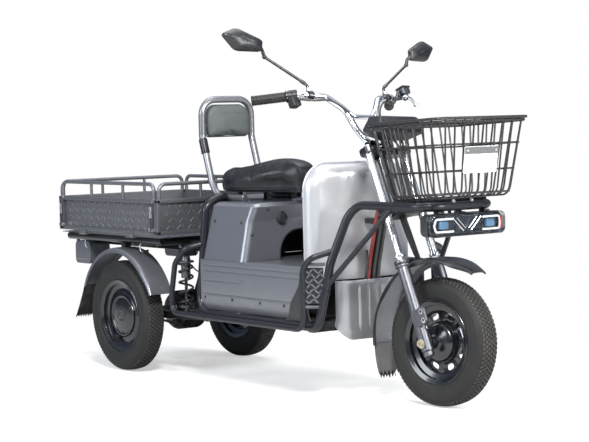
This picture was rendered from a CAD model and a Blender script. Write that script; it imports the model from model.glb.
"""Electric cargo tricycle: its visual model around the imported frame.

The builders work in millimetres on the maker's bench: X forward, Y to the rider's
left, Z up, from the ground under the middle of the rear axle. A matrix takes each
form from its own place on the bench to the row frame in metres.
"""

import logging
import math
from dataclasses import dataclass
from enum import Enum
from typing import Callable, Iterable, Optional, Sequence, Union

import bmesh
import bpy
from mathutils import Matrix, Vector, noise
from mathutils.bvhtree import BVHTree


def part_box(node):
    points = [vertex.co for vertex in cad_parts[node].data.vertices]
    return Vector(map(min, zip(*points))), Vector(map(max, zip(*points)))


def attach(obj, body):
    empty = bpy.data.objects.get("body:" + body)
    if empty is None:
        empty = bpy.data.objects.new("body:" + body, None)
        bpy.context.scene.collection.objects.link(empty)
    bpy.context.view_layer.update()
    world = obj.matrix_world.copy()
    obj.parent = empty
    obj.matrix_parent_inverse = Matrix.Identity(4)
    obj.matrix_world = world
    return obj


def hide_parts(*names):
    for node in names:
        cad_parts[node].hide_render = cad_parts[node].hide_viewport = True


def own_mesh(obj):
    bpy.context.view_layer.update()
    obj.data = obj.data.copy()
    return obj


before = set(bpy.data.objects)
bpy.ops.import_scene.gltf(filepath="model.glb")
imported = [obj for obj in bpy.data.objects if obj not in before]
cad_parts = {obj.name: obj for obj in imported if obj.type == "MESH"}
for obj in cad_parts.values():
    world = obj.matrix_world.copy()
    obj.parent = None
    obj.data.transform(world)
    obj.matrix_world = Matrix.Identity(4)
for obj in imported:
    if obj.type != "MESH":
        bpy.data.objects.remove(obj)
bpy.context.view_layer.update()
LOG = logging.getLogger("tricycle")
MM = 0.001
SIDES = (-1, 1)
Point = Sequence[float]
Face = tuple[int, ...]
Mesh = tuple[list[Vector], list[Face]]


# ---------------------------------------------------------------- the bench frame


@dataclass(frozen=True)
class Steering:
    """Where the steering axis stands on the bench, in millimetres and degrees."""

    wheelbase: float = 1530.0
    wheel_radius: float = 216.0
    rake: float = 23.5
    turn: float = 5.5
    offset: float = 40.0

    @property
    def foot(self) -> Vector:
        """The point of the axis at the height of the wheel's centre."""
        lean = math.radians(self.rake)
        return Vector((self.wheelbase - self.offset / math.cos(lean), 0, self.wheel_radius))

    @property
    def drop(self) -> float:
        """How far the wheel's centre lies below the raked frame's origin."""
        return self.offset * math.tan(math.radians(self.rake))

    def matrix(self) -> Matrix:
        """The raked and turned frame of the fork, on the bench."""
        lean = Matrix.Rotation(-math.radians(self.rake), 4, "Y")
        turn = Matrix.Rotation(math.radians(self.turn), 4, "Z")
        return Matrix.Translation(self.foot) @ lean @ turn

    def raked(self, x: float, y: float, z: float) -> Vector:
        """The place in the raked frame of a bench point given with the wheel straight."""
        lean = Matrix.Rotation(math.radians(self.rake), 4, "Y")
        return lean @ (Vector((x, y, z)) - self.foot)

    def on_axis(self, along: float) -> Vector:
        """The bench place of a point on the steering axis."""
        lean = Matrix.Rotation(-math.radians(self.rake), 4, "Y")
        return self.foot + lean @ Vector((0, 0, along))


def bench_matrix() -> Matrix:
    """The matrix from the bench to the row frame, read from the two rear rims.

    Returns:
        Matrix: millimetres on the bench to metres in the row frame.
    """
    right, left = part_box("rear_rim_right"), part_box("rear_rim_left")
    middle = (right[0] + right[1] + left[0] + left[1]) / 4
    return Matrix.Translation((middle.x, middle.y, 0)) @ Matrix.Scale(MM, 4)


STEER = Steering()
BENCH = bench_matrix()
FORK = BENCH @ STEER.matrix()
ALONG_Y = Matrix.Rotation(-math.pi / 2, 4, "X")


def side_name(side: int) -> str:
    """The word for a side: 1 is the rider's left."""
    return "left" if side > 0 else "right"


# ---------------------------------------------------------------- routes and meshes


def lerp(a: float, b: float, share: float) -> float:
    """The value at a share of the way from a to b."""
    return a + (b - a) * share


def smoothed(share: float) -> float:
    """A share eased at both ends."""
    share = min(1.0, max(0.0, share))
    return share * share * (3 - 2 * share)


def fillet(corners: Iterable[Point], bend: float, step: float = 12.0) -> list[Vector]:
    """A route with its corners turned into arcs.

    Args:
        corners: the route's corners.
        bend: the radius of each arc, or less where a stretch is short.
        step: the degrees between two points of an arc.

    Returns:
        list[Vector]: the points of the rounded route.
    """
    spots = [Vector(c) for c in corners]
    route = [spots[0]]
    for before, here, after in zip(spots, spots[1:], spots[2:]):
        back, ahead = before - here, after - here
        turn = math.pi - back.angle(ahead)
        if turn < 0.01 or bend <= 0:
            route.append(here)
            continue
        reach = min(bend * math.tan(turn / 2), min(back.length, ahead.length) * 0.48)
        radius = reach / math.tan(turn / 2)
        start, end = here + back.normalized() * reach, here + ahead.normalized() * reach
        inward = (back.normalized() + ahead.normalized()).normalized()
        centre = here + inward * (radius / math.cos(turn / 2))
        spin = (start - centre).cross(end - centre)
        count = max(2, round(math.degrees(turn) / step))
        for k in range(count + 1):
            swing = Matrix.Rotation(turn * k / count, 3, spin)
            route.append(centre + swing @ (start - centre))
    route.append(spots[-1])
    return route


def curve_points(knots: Iterable[Point], count: int) -> list[Vector]:
    """A smooth route through knots, evenly sampled, by Catmull and Rom's rule.

    Args:
        knots: the places that the route runs through.
        count: the number of steps along it.

    Returns:
        list[Vector]: one more point than there are steps.
    """
    k = [Vector(p) for p in knots]
    k = [2 * k[0] - k[1], *k, 2 * k[-1] - k[-2]]
    spots = []
    spans = len(k) - 3
    for i in range(count + 1):
        at = min(i * spans / count, spans - 1e-9)
        j, t = int(at), at - int(at)
        a, b, c, d = k[j : j + 4]
        spots.append(
            0.5 * (2 * b + (c - a) * t + (2 * a - 5 * b + 4 * c - d) * t * t + (3 * b - a - 3 * c + d) * t**3)
        )
    return spots


def frames_along(route: list[Vector], closed: bool) -> list[tuple[Vector, Vector]]:
    """Two directions across the route at each point, carried along without twist.

    Args:
        route: the points of the route.
        closed: True where the last point joins the first.

    Returns:
        list[tuple[Vector, Vector]]: a pair for each point.
    """
    last = len(route) - 1
    tangents = []
    for i, here in enumerate(route):
        before = route[i - 1] if i or closed else here
        after = route[(i + 1) % len(route)] if i < last or closed else here
        into = (here - before).normalized() if here != before else Vector()
        out = (after - here).normalized() if after != here else Vector()
        tangents.append((into + out).normalized())
    across = tangents[0].cross(Vector((0, 0, 1)))
    if across.length < 0.2:
        across = tangents[0].cross(Vector((0, 1, 0)))
    across.normalize()
    pairs = []
    for tangent in tangents:
        across = (across - tangent * across.dot(tangent)).normalized()
        pairs.append((across, tangent.cross(across)))
    return pairs


def rounded_box(u: Point, v: Point, radius: float, steps: int = 4) -> list[tuple[float, float]]:
    """A rectangle with round corners as pairs, anticlockwise.

    Args:
        u: its low and high end along the first direction.
        v: its low and high end along the second.
        radius: the radius of its corners.
        steps: the steps round a corner.

    Returns:
        list[tuple[float, float]]: the outline's points.
    """
    spots = []
    corners = ((u[1], v[1], 0), (u[0], v[1], 1), (u[0], v[0], 2), (u[1], v[0], 3))
    for cu, cv, quarter in corners:
        mu = cu - radius if quarter in (0, 3) else cu + radius
        mv = cv - radius if quarter in (0, 1) else cv + radius
        for k in range(steps + 1):
            angle = math.pi / 2 * (quarter + k / steps)
            spots.append((mu + radius * math.cos(angle), mv + radius * math.sin(angle)))
    return spots


def bevelled(mesh: Mesh, width: float, segments: int = 2, angle: float = 28.0) -> Mesh:
    """A closed mesh with its sharp edges rounded.

    Args:
        mesh: vertices and faces.
        width: how far the rounding reaches from each edge.
        segments: steps across the rounding.
        angle: edges that turn by more than this many degrees are rounded.

    Returns:
        Mesh: the new vertices and faces.
    """
    work = bmesh.new()
    made = [work.verts.new(v) for v in mesh[0]]
    for face in mesh[1]:
        work.faces.new([made[i] for i in face])
    bmesh.ops.recalc_face_normals(work, faces=work.faces)
    sharp = [e for e in work.edges if e.calc_face_angle(0) > math.radians(angle)]
    bmesh.ops.bevel(
        work, geom=sharp, offset=width, segments=segments, profile=0.5, affect="EDGES", clamp_overlap=True
    )
    work.verts.index_update()
    result = [v.co.copy() for v in work.verts], [tuple(v.index for v in f.verts) for f in work.faces]
    work.free()
    return result


class Form:
    """The closed solids that make up one piece, in millimetres, with a finish number each."""

    def __init__(self) -> None:
        """Starts with nothing in it."""
        self.verts: list[Vector] = []
        self.faces: list[Face] = []
        self.finish: list[int] = []

    def solid(self, mesh: Mesh, finish: int = 0, turn: Optional[Matrix] = None) -> "Form":
        """Adds a closed mesh, with its faces turned outwards.

        Args:
            mesh: vertices and faces.
            finish: which of the piece's finishes it has.
            turn: a matrix applied to it first.

        Returns:
            Form: this form.
        """
        verts = [turn @ v for v in mesh[0]] if turn else [Vector(v) for v in mesh[0]]
        volume = 0.0
        for face in mesh[1]:
            a = verts[face[0]]
            for i in range(1, len(face) - 1):
                volume += a.dot(verts[face[i]].cross(verts[face[i + 1]]))
        start = len(self.verts)
        self.verts += verts
        for face in mesh[1]:
            ring = tuple(start + i for i in face)
            self.faces.append(ring if volume > 0 else ring[::-1])
            self.finish.append(finish)
        return self

    def tube(
        self,
        corners: Iterable[Point],
        radius: Union[float, Callable[[float], float]],
        bend: float = 0.0,
        sides: int = 14,
        finish: int = 0,
        closed: bool = False,
        flat: float = 1.0,
    ) -> "Form":
        """Adds a round tube or rod along a route, its ends softly rounded.

        Args:
            corners: the route's corners, or all its points where bend is 0.
            radius: its radius, or a rule that gives it at a share of the length.
            bend: the radius of its bends.
            sides: the number of sides.
            finish: which of the piece's finishes it has.
            closed: True for a ring whose last point joins the first.
            flat: the share of its height that its section keeps.

        Returns:
            Form: this form.
        """
        route = fillet(corners, bend) if bend else [Vector(c) for c in corners]
        rule = radius if callable(radius) else (lambda share: radius)
        sizes = [rule(i / max(1, len(route) - 1)) for i in range(len(route))]
        if not closed:
            first, last = (route[1] - route[0]), (route[-2] - route[-1])
            soft = min(sizes[0], sizes[-1], first.length, last.length) * 0.22
            route = [route[0], route[0] + first.normalized() * soft, *route[1:-1],
                     route[-1] + last.normalized() * soft, route[-1]]
            sizes = [sizes[0] - soft, *sizes, sizes[-1] - soft]
        verts, faces = [], []
        for spot, size, (across, up) in zip(route, sizes, frames_along(route, closed)):
            for k in range(sides):
                angle = 2 * math.pi * k / sides
                verts.append(spot + across * (size * math.cos(angle)) + up * (size * flat * math.sin(angle)))
        rows = len(route)
        for i in range(rows if closed else rows - 1):
            for k in range(sides):
                a, b = i * sides + k, i * sides + (k + 1) % sides
                c = ((i + 1) % rows) * sides
                faces.append((a, b, c + (k + 1) % sides, c + k))
        if not closed:
            faces += [tuple(range(sides)), tuple(range((rows - 1) * sides, rows * sides))[::-1]]
        return self.solid((verts, faces), finish)

    def rod(self, start: Point, end: Point, radius: float, sides: int = 20, finish: int = 0) -> "Form":
        """Adds a straight rod between two points."""
        return self.tube([start, end], radius, 0, sides, finish)

    def lathe(
        self,
        profile: Sequence[Point],
        turn: Optional[Matrix] = None,
        sides: int = 48,
        finish: int = 0,
        ring: bool = False,
    ) -> "Form":
        """Adds a body of revolution about its own Z axis.

        Args:
            profile: pairs of radius and place along the axis; an open one ends on the axis.
            turn: the matrix that stands it in its place.
            sides: the number of sides.
            finish: which of the piece's finishes it has.
            ring: True where the profile closes on itself, clear of the axis.

        Returns:
            Form: this form.
        """
        if not ring:
            profile = [(0, profile[0][1]), *profile, (0, profile[-1][1])]
        verts, rows, faces = [], [], []
        for radius, along in profile:
            if radius < 1e-6:
                rows.append([len(verts)] * sides)
                verts.append(Vector((0, 0, along)))
                continue
            rows.append(list(range(len(verts), len(verts) + sides)))
            for k in range(sides):
                angle = 2 * math.pi * k / sides
                verts.append(Vector((radius * math.cos(angle), radius * math.sin(angle), along)))
        pairs = list(zip(rows, rows[1:])) + ([(rows[-1], rows[0])] if ring else [])
        for low, high in pairs:
            for k in range(sides):
                quad = (low[k], low[(k + 1) % sides], high[(k + 1) % sides], high[k])
                flat = tuple(dict.fromkeys(quad))
                if len(flat) > 2:
                    faces.append(flat)
        return self.solid((verts, faces), finish, turn)

    def prism(
        self,
        outline: Sequence[Point],
        low: float,
        high: float,
        axis: str = "Y",
        bevel: float = 0.0,
        finish: int = 0,
        turn: Optional[Matrix] = None,
    ) -> "Form":
        """Adds an outline pushed along an axis, its edges rounded by the bevel.

        Args:
            outline: pairs across the axis, in the order of the axes.
            low: where it starts along the axis.
            high: where it ends.
            axis: the axis that it is pushed along.
            bevel: the width of its rounded edges, or 0.
            finish: which of the piece's finishes it has.
            turn: a matrix applied to it.

        Returns:
            Form: this form.
        """
        verts = []
        for along in (low, high):
            for u, v in outline:
                verts.append(Vector({"X": (along, u, v), "Y": (u, along, v), "Z": (u, v, along)}[axis]))
        count = len(outline)
        faces = [tuple(range(count))[::-1], tuple(range(count, 2 * count))]
        faces += [(i, (i + 1) % count, count + (i + 1) % count, count + i) for i in range(count)]
        mesh = bevelled((verts, faces), bevel) if bevel else (verts, faces)
        return self.solid(mesh, finish, turn)

    def block(
        self, low: Point, high: Point, bevel: float = 1.0, finish: int = 0, turn: Optional[Matrix] = None
    ) -> "Form":
        """Adds a box between two corners, its edges rounded by the bevel.

        Args:
            low: one corner.
            high: the corner opposite.
            bevel: the width of its rounded edges.
            finish: which of the piece's finishes it has.
            turn: a matrix applied to it.

        Returns:
            Form: this form.
        """
        x, y, z = zip(low, high)
        outline = [(min(x), min(y)), (max(x), min(y)), (max(x), max(y)), (min(x), max(y))]
        return self.prism(outline, min(z), max(z), "Z", bevel, finish, turn)

    def loft(
        self, rings: Sequence[Sequence[Point]], bevel: float = 0.0, finish: int = 0,
             turn: Optional[Matrix] = None
    ) -> "Form":
        """Adds a skin over closed rings of equally many points, with a cap at each end.

        Args:
            rings: the rings in order.
            bevel: the width of its rounded edges, or 0.
            finish: which of the piece's finishes it has.
            turn: a matrix applied to it.

        Returns:
            Form: this form.
        """
        count = len(rings[0])
        verts = [Vector(p) for ring in rings for p in ring]
        faces = [
            (r * count + i, r * count + (i + 1) % count, (r + 1) * count + (i + 1) % count,
             (r + 1) * count + i)
            for r in range(len(rings) - 1)
            for i in range(count)
        ]
        faces += [tuple(range(count))[::-1], tuple(range((len(rings) - 1) * count, len(rings) * count))]
        mesh = bevelled((verts, faces), bevel) if bevel else (verts, faces)
        return self.solid(mesh, finish, turn)

    def sheet(self, grid: Sequence[Sequence[Vector]], thickness: float, finish: int = 0,
              rim: int = -1) -> "Form":
        """Adds a curved sheet of even thickness.

        Args:
            grid: rows of points on its outer face, rows and columns in right-hand order.
            thickness: how thick it is, on the side away from the outer face.
            finish: which of the piece's finishes it has.
            rim: another finish for its inner face and edge, or -1.

        Returns:
            Form: this form.
        """
        rows, cols = len(grid), len(grid[0])
        outer = [Vector(p) for row in grid for p in row]
        inner = []
        for r in range(rows):
            for c in range(cols):
                du = outer[min(r + 1, rows - 1) * cols + c] - outer[max(r - 1, 0) * cols + c]
                dv = outer[r * cols + min(c + 1, cols - 1)] - outer[r * cols + max(c - 1, 0)]
                inner.append(outer[r * cols + c] - du.cross(dv).normalized() * thickness)
        total = rows * cols
        front, back, edge = [], [], []
        for r in range(rows - 1):
            for c in range(cols - 1):
                a = r * cols + c
                quad = (a, a + cols, a + cols + 1, a + 1)
                front.append(quad)
                back.append(tuple(i + total for i in quad[::-1]))
        loop = [c for c in range(cols)] + [r * cols + cols - 1 for r in range(1, rows)]
        loop += [(rows - 1) * cols + c for c in range(cols - 2, -1, -1)]
        loop += [r * cols for r in range(rows - 2, 0, -1)]
        for a, b in zip(loop, loop[1:] + loop[:1]):
            edge.append((a, b, b + total, a + total))
        start = len(self.finish)
        self.solid((outer + inner, front + back + edge), finish)
        if rim >= 0:
            for i in range(start + len(front), len(self.finish)):
                self.finish[i] = rim
        return self

    def piece(self, name: str, place: Matrix, finishes: Sequence["Finish"],
              smooth: float = 36.0) -> bpy.types.Object:
        """The form as an object whose place is in its mesh.

        Args:
            name: the object's name.
            place: the matrix from the form's frame to the row frame.
            finishes: its finishes, in the order of their numbers.
            smooth: faces that meet at less than this many degrees are shaded as one.

        Returns:
            bpy.types.Object: the new object.
        """
        mesh = bpy.data.meshes.new(name)
        mesh.from_pydata([place @ v for v in self.verts], [], self.faces)
        for finish in finishes:
            mesh.materials.append(finish.material())
        mesh.polygons.foreach_set("material_index", self.finish)
        mesh.shade_smooth()
        mesh.set_sharp_from_angle(angle=math.radians(smooth))
        mesh.update()
        made = bpy.data.objects.new(name, mesh)
        bpy.context.scene.collection.objects.link(made)
        fair = made.modifiers.new("fair", "WEIGHTED_NORMAL")
        fair.keep_sharp = True
        view = bpy.context.evaluated_depsgraph_get()
        made.data = bpy.data.meshes.new_from_object(made.evaluated_get(view), depsgraph=view)
        made.modifiers.clear()
        return made


def settle(
    made: bpy.types.Object, body: str, replaces: Sequence[str] = ()
) -> bpy.types.Object:
    """Puts a finished piece on its body and reports it.

    Args:
        made: the piece.
        body: the body that it rides on.
        replaces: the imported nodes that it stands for.

    Returns:
        bpy.types.Object: the same piece.
    """
    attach(made, body)
    if replaces:
        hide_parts(*replaces)
    LOG.info("%s on %s, %d faces", made.name, body, len(made.data.polygons))
    return made


# ---------------------------------------------------------------- finishes


class Socket:
    """One output of a shader tree, with arithmetic that adds Math nodes."""

    def __init__(self, tree: "Shader", socket: bpy.types.NodeSocket) -> None:
        """Wraps an output socket of the tree."""
        self.tree = tree
        self.socket = socket

    def _math(self, kind: str, first: "Value", second: "Value") -> "Socket":
        """A Math node of the two values."""
        return self.tree.node("ShaderNodeMath", {"operation": kind}, {0: first, 1: second})[0]

    def __add__(self, other: "Value") -> "Socket":
        """The sum."""
        return self._math("ADD", self, other)

    def __radd__(self, other: float) -> "Socket":
        """The sum, written the other way round."""
        return self._math("ADD", other, self)

    def __sub__(self, other: "Value") -> "Socket":
        """The difference."""
        return self._math("SUBTRACT", self, other)

    def __rsub__(self, other: float) -> "Socket":
        """The difference from a number."""
        return self._math("SUBTRACT", other, self)

    def __mul__(self, other: "Value") -> "Socket":
        """The product."""
        return self._math("MULTIPLY", self, other)

    def clip(self) -> "Socket":
        """This value held between 0 and 1."""
        return self.tree.node("ShaderNodeClamp", {}, {0: self})[0]


Value = Union[float, Socket]
Colour = tuple[float, float, float]


class Shader:
    """A material's node tree, built by method calls."""

    def __init__(self, name: str) -> None:
        """Starts an empty material of that name."""
        self.made = bpy.data.materials.new(name)
        self.made.use_nodes = True
        self.made.node_tree.nodes.clear()
        self.place = self.node("ShaderNodeTexCoord")["Object"]

    def node(self, kind: str, settings: Optional[dict] = None, inputs: Optional[dict] = None) -> "Outputs":
        """Adds a node.

        Args:
            kind: the node's type.
            settings: its own properties, set first; a ramp's stops come as "stops".
            inputs: values or sockets by input name or number.

        Returns:
            Outputs: the node's outputs, by name or number.
        """
        new = self.made.node_tree.nodes.new(kind)
        for key, value in (settings or {}).items():
            if key == "stops":
                for i, (at, shade) in enumerate(value):
                    stop = new.color_ramp.elements[i] if i < 2 else new.color_ramp.elements.new(at)
                    stop.position, stop.color = at, (*shade, 1)
            else:
                setattr(new, key, value)
        for key, value in (inputs or {}).items():
            if isinstance(value, Socket):
                self.made.node_tree.links.new(value.socket, new.inputs[key])
            else:
                new.inputs[key].default_value = (*value, 1) if isinstance(value, tuple) and len(value) == 3 \
                    and new.inputs[key].type == "RGBA" else value
        return Outputs(self, new)

    def scaled(self, stretch: Point) -> Socket:
        """The place on the piece with its axes stretched."""
        return self.node("ShaderNodeMapping", {}, {"Vector": self.place, "Scale": tuple(stretch)})[0]

    def grain(self, scale: float, detail: float = 3.0, rough: float = 0.5,
              at: Optional[Socket] = None) -> Socket:
        """Noise from 0 to 1, with that many spots to the metre."""
        inputs = {"Vector": at or self.place, "Scale": scale, "Detail": detail, "Roughness": rough}
        return self.node("ShaderNodeTexNoise", {}, inputs)[0]

    def cells(self, scale: float, feature: str = "F1", at: Optional[Socket] = None) -> Socket:
        """The distance field of scattered cells."""
        inputs = {"Vector": at or self.place, "Scale": scale}
        return self.node("ShaderNodeTexVoronoi", {"feature": feature}, inputs)["Distance"]

    def step(self, value: Socket, low: float, high: float) -> Socket:
        """A soft step from 0 at low to 1 at high."""
        inputs = {"Value": value, "From Min": low, "From Max": high}
        return self.node("ShaderNodeMapRange", {"interpolation_type": "SMOOTHSTEP"}, inputs)[0]

    def blend(self, share: Value, first: Union[Colour, Socket], second: Union[Colour, Socket]) -> Socket:
        """A mix of two colours."""
        inputs = {0: share, 6: first, 7: second}
        return self.node("ShaderNodeMix", {"data_type": "RGBA"}, inputs)[2]

    def bump(self, height: Socket, reach: float, strength: float = 1.0,
             under: Optional[Socket] = None) -> Socket:
        """A normal bent by a height, whose full range stands that many metres proud."""
        inputs = {"Height": height, "Distance": reach, "Strength": strength}
        if under:
            inputs["Normal"] = under
        return self.node("ShaderNodeBump", {}, inputs)[0]

    def finish(self, inputs: dict) -> bpy.types.Material:
        """Ends the tree in the main shader with those inputs."""
        main = self.node("ShaderNodeBsdfPrincipled", {}, inputs)
        self.node("ShaderNodeOutputMaterial", {}, {"Surface": main[0]})
        return self.made


class Outputs:
    """The outputs of one node."""

    def __init__(self, tree: Shader, node: bpy.types.Node) -> None:
        """Wraps a node of the tree."""
        self.tree = tree
        self.node = node

    def __getitem__(self, key: Union[int, str]) -> Socket:
        """The output of that name or number."""
        return Socket(self.tree, self.node.outputs[key])


def darker(colour: Colour, share: float) -> Colour:
    """A colour times a share."""
    return tuple(min(1.0, c * share) for c in colour)


class Finish:
    """A named finish whose material is made once."""

    made: dict[str, bpy.types.Material] = {}
    name: str

    def build(self) -> bpy.types.Material:
        """Makes the material."""
        raise NotImplementedError

    def material(self) -> bpy.types.Material:
        """The material, made the first time it is asked for."""
        if self.name not in Finish.made:
            Finish.made[self.name] = self.build()
        return Finish.made[self.name]


@dataclass(frozen=True)
class Paint(Finish):
    """Sprayed metallic paint: flake, orange peel, a clear coat, and dust low down."""

    name: str
    colour: Colour
    metallic: float = 0.55
    roughness: float = 0.34
    coat: float = 0.5
    flake: float = 0.14
    peel: float = 0.00012
    dust: Colour = (0.24, 0.22, 0.20)
    soiled: float = 0.26
    gloss: float = 0.5

    def build(self) -> bpy.types.Material:
        """Makes the paint."""
        tree = Shader(self.name)
        flakes = tree.cells(2600)
        cloud = tree.grain(5.5, 4)
        shade = tree.blend(flakes * self.flake * 2, darker(self.colour, 0.9), darker(self.colour, 1.22))
        shade = tree.blend(tree.step(cloud, 0.35, 0.75) * 0.14, shade, darker(self.colour, 0.72))
        height = tree.node("ShaderNodeSeparateXYZ", {}, {0: tree.place})[2]
        low = (1 - tree.step(height, 0.16, 0.52)) * tree.step(tree.grain(38, 6, 0.62), 0.42, 0.72)
        scuff = tree.step(tree.grain(90, 5, 0.7, tree.scaled((1, 1, 3.5))), 0.66, 0.74)
        soil = (low * self.soiled + scuff * self.soiled * 0.25).clip()
        shade = tree.blend(soil, shade, self.dust)
        peel = tree.bump(tree.grain(260, 2), self.peel, 0.55)
        return tree.finish({
            "Base Color": shade,
            "Metallic": self.metallic - soil * (self.metallic * 0.8),
            "Roughness": (self.roughness + cloud * 0.1 + soil * 0.35).clip(),
            "Coat Weight": self.coat,
            "Coat Roughness": 0.09,
            "Specular IOR Level": self.gloss,
            "Normal": tree.bump(flakes, 0.00003, 0.35, peel),
        })


@dataclass(frozen=True)
class Metal(Finish):
    """Bare or plated metal with smudges and fine scratches."""

    name: str
    colour: Colour
    roughness: float = 0.12
    smudge: float = 0.12
    grain: float = 0.00002
    stain: Colour = (0.2, 0.18, 0.16)

    def build(self) -> bpy.types.Material:
        """Makes the metal."""
        tree = Shader(self.name)
        smear = tree.step(tree.grain(26, 5, 0.6), 0.38, 0.75)
        pits = tree.step(tree.grain(420, 4, 0.7), 0.62, 0.78)
        lines = tree.grain(300, 3, 0.6, tree.scaled((1, 1, 9)))
        shade = tree.blend(pits * 0.35 + smear * 0.08, self.colour, darker(self.stain, 1.6))
        return tree.finish({
            "Base Color": shade,
            "Metallic": 1.0 - pits * 0.35,
            "Roughness": (self.roughness + smear * self.smudge + pits * 0.25).clip(),
            "Normal": tree.bump(lines + pits, self.grain, 0.6),
        })


class Skin(Enum):
    """The surface left by a mould."""

    LEATHER = "leather"
    STIPPLE = "stipple"
    SMOOTH = "smooth"


@dataclass(frozen=True)
class Moulded(Finish):
    """Plastic, rubber or leather with a moulded or natural skin."""

    name: str
    colour: Colour
    skin: Skin = Skin.STIPPLE
    roughness: float = 0.5
    scale: float = 900.0
    depth: float = 0.00012
    dust: Colour = (0.2, 0.19, 0.17)
    dusty: float = 0.25
    coat: float = 0.0
    gloss: float = 0.45

    def build(self) -> bpy.types.Material:
        """Makes the moulded finish."""
        tree = Shader(self.name)
        cloud = tree.grain(14, 5, 0.6)
        fine = tree.grain(self.scale * 1.4, 3, 0.6)
        if self.skin is Skin.LEATHER:
            height = tree.step(tree.cells(self.scale, "DISTANCE_TO_EDGE"), 0.0, 0.16) + fine * 0.35
        elif self.skin is Skin.STIPPLE:
            height = 1 - tree.cells(self.scale, "SMOOTH_F1") + fine * 0.3
        else:
            height = fine
        soil = tree.step(cloud, 0.46, 0.78) * self.dusty
        wear = tree.step(tree.grain(120, 5, 0.65), 0.6, 0.75) * 0.4
        shade = tree.blend(tree.step(fine, 0.3, 0.8), darker(self.colour, 0.82), darker(self.colour, 1.3))
        shade = tree.blend(soil, shade, self.dust)
        return tree.finish({
            "Base Color": shade,
            "Roughness": (self.roughness + soil * 0.5 + wear * 0.12 + (cloud - 0.5) * 0.12).clip(),
            "Coat Weight": self.coat,
            "Coat Roughness": 0.2,
            "Specular IOR Level": self.gloss,
            "Normal": tree.bump(height, self.depth, 0.8),
        })


@dataclass(frozen=True)
class Lens(Finish):
    """Clear or tinted moulded plastic that shows what is behind it."""

    name: str
    colour: Colour = (0.93, 0.95, 0.97)
    roughness: float = 0.02
    flutes: float = 0.0

    def build(self) -> bpy.types.Material:
        """Makes the clear plastic."""
        tree = Shader(self.name)
        haze = tree.grain(60, 4, 0.6)
        wave = tree.node("ShaderNodeTexWave", {"bands_direction": "Y"},
                         {"Vector": tree.place, "Scale": 40.0})[1]
        shade = tree.blend(tree.step(haze, 0.55, 0.8) * 0.12, self.colour, darker(self.colour, 0.8))
        return tree.finish({
            "Base Color": shade,
            "Roughness": (self.roughness + haze * 0.03).clip(),
            "Transmission Weight": 1.0,
            "IOR": 1.12,
            "Normal": tree.bump(wave * self.flutes + haze * 0.1, 0.0004, 0.5),
        })


BODY = Paint("body_paint", (0.150, 0.158, 0.182), 0.55, 0.31, 0.5)
SILVER = Paint("shield_paint", (0.50, 0.51, 0.54), 0.6, 0.3, 0.5)
APRON = Paint("apron_paint", (0.33, 0.34, 0.365), 0.6, 0.3, 0.5, soiled=0.18)
LOOP = Paint("loop_paint", (0.17, 0.175, 0.19), 0.6, 0.28, 0.5, 0.1, soiled=0.1)
TUBE = Paint("tube_paint", (0.014, 0.015, 0.020), 0.1, 0.26, 0.12, 0.05, soiled=0.03, gloss=0.25)
PANEL = Paint("panel_paint", (0.135, 0.14, 0.155), 0.6, 0.36, 0.4)
BARS = Paint("worn_bars", (0.15, 0.155, 0.17), 0.6, 0.34, 0.4)
BLACK = Paint("chassis_paint", (0.009, 0.010, 0.012), 0.2, 0.3, 0.4, 0.05, soiled=0.1)
RIM = Paint("rim_paint", (0.005, 0.006, 0.009), 0.1, 0.2, 0.5, 0.05, soiled=0.04)
WIRE = Paint("wire_coat", (0.010, 0.009, 0.011), 0.1, 0.34, 0.2, 0.05, soiled=0.08)
CHROME = Metal("chrome_plate", (0.78, 0.80, 0.84), 0.11, 0.05, 0.000002)
STANCHION = Metal("hard_chrome", (0.80, 0.81, 0.83), 0.22, 0.05, 0.000002)
ALLOY = Metal("satin_alloy", (0.125, 0.13, 0.145), 0.34, 0.15, 0.00003)
REFLECTOR = Metal("lamp_reflector", (0.10, 0.11, 0.13), 0.22, 0.1)
BRASS = Metal("plated_nut", (0.62, 0.52, 0.32), 0.3, 0.2)
ZINC = Metal("zinc_plate", (0.62, 0.64, 0.68), 0.26, 0.2)
PLASTIC = Moulded("black_plastic", (0.010, 0.011, 0.013), Skin.STIPPLE, 0.36, 1100, 0.00008, dusty=0.08)
GLOSS = Moulded("gloss_plastic", (0.015, 0.015, 0.018), Skin.SMOOTH, 0.2, 900, 0.00003, coat=0.5, dusty=0.1)
TYRE = Moulded("tyre_rubber", (0.013, 0.013, 0.013), Skin.STIPPLE, 0.6, 700, 0.00018, (0.06, 0.055, 0.05),
               0.22, gloss=0.28)
TREAD = Moulded("tread_rubber", (0.030, 0.029, 0.028), Skin.STIPPLE, 0.68, 700, 0.0002, (0.09, 0.083, 0.074),
                0.34, gloss=0.28)
GRIP = Moulded("grip_rubber", (0.008, 0.008, 0.009), Skin.STIPPLE, 0.5, 900, 0.0002, dusty=0.06)
FLAP = Moulded("flap_rubber", (0.014, 0.014, 0.016), Skin.STIPPLE, 0.62, 500, 0.0003, dusty=0.2, gloss=0.28)
GREY_FLAP = Moulded("grey_flap", (0.10, 0.103, 0.108), Skin.STIPPLE, 0.62, 500, 0.0003, dusty=0.4)
SADDLE = Moulded("saddle_leather", (0.0055, 0.006, 0.0085), Skin.LEATHER, 0.28, 420, 0.00018, dusty=0.02,
                 coat=0.1, gloss=0.35)
PAD = Moulded("pad_leather", (0.060, 0.069, 0.073), Skin.LEATHER, 0.46, 420, 0.00028, dusty=0.12)
CABLE = Moulded("cable_sheath", (0.018, 0.018, 0.02), Skin.SMOOTH, 0.4, 900, 0.00004)
RED = Moulded("red_sleeve", (0.19, 0.014, 0.012), Skin.SMOOTH, 0.45, 700, 0.0001)
WHITE = Moulded("white_plate", (0.56, 0.56, 0.56), Skin.SMOOTH, 0.35, 500, 0.00005, (0.5, 0.49, 0.46), 0.2)
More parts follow.
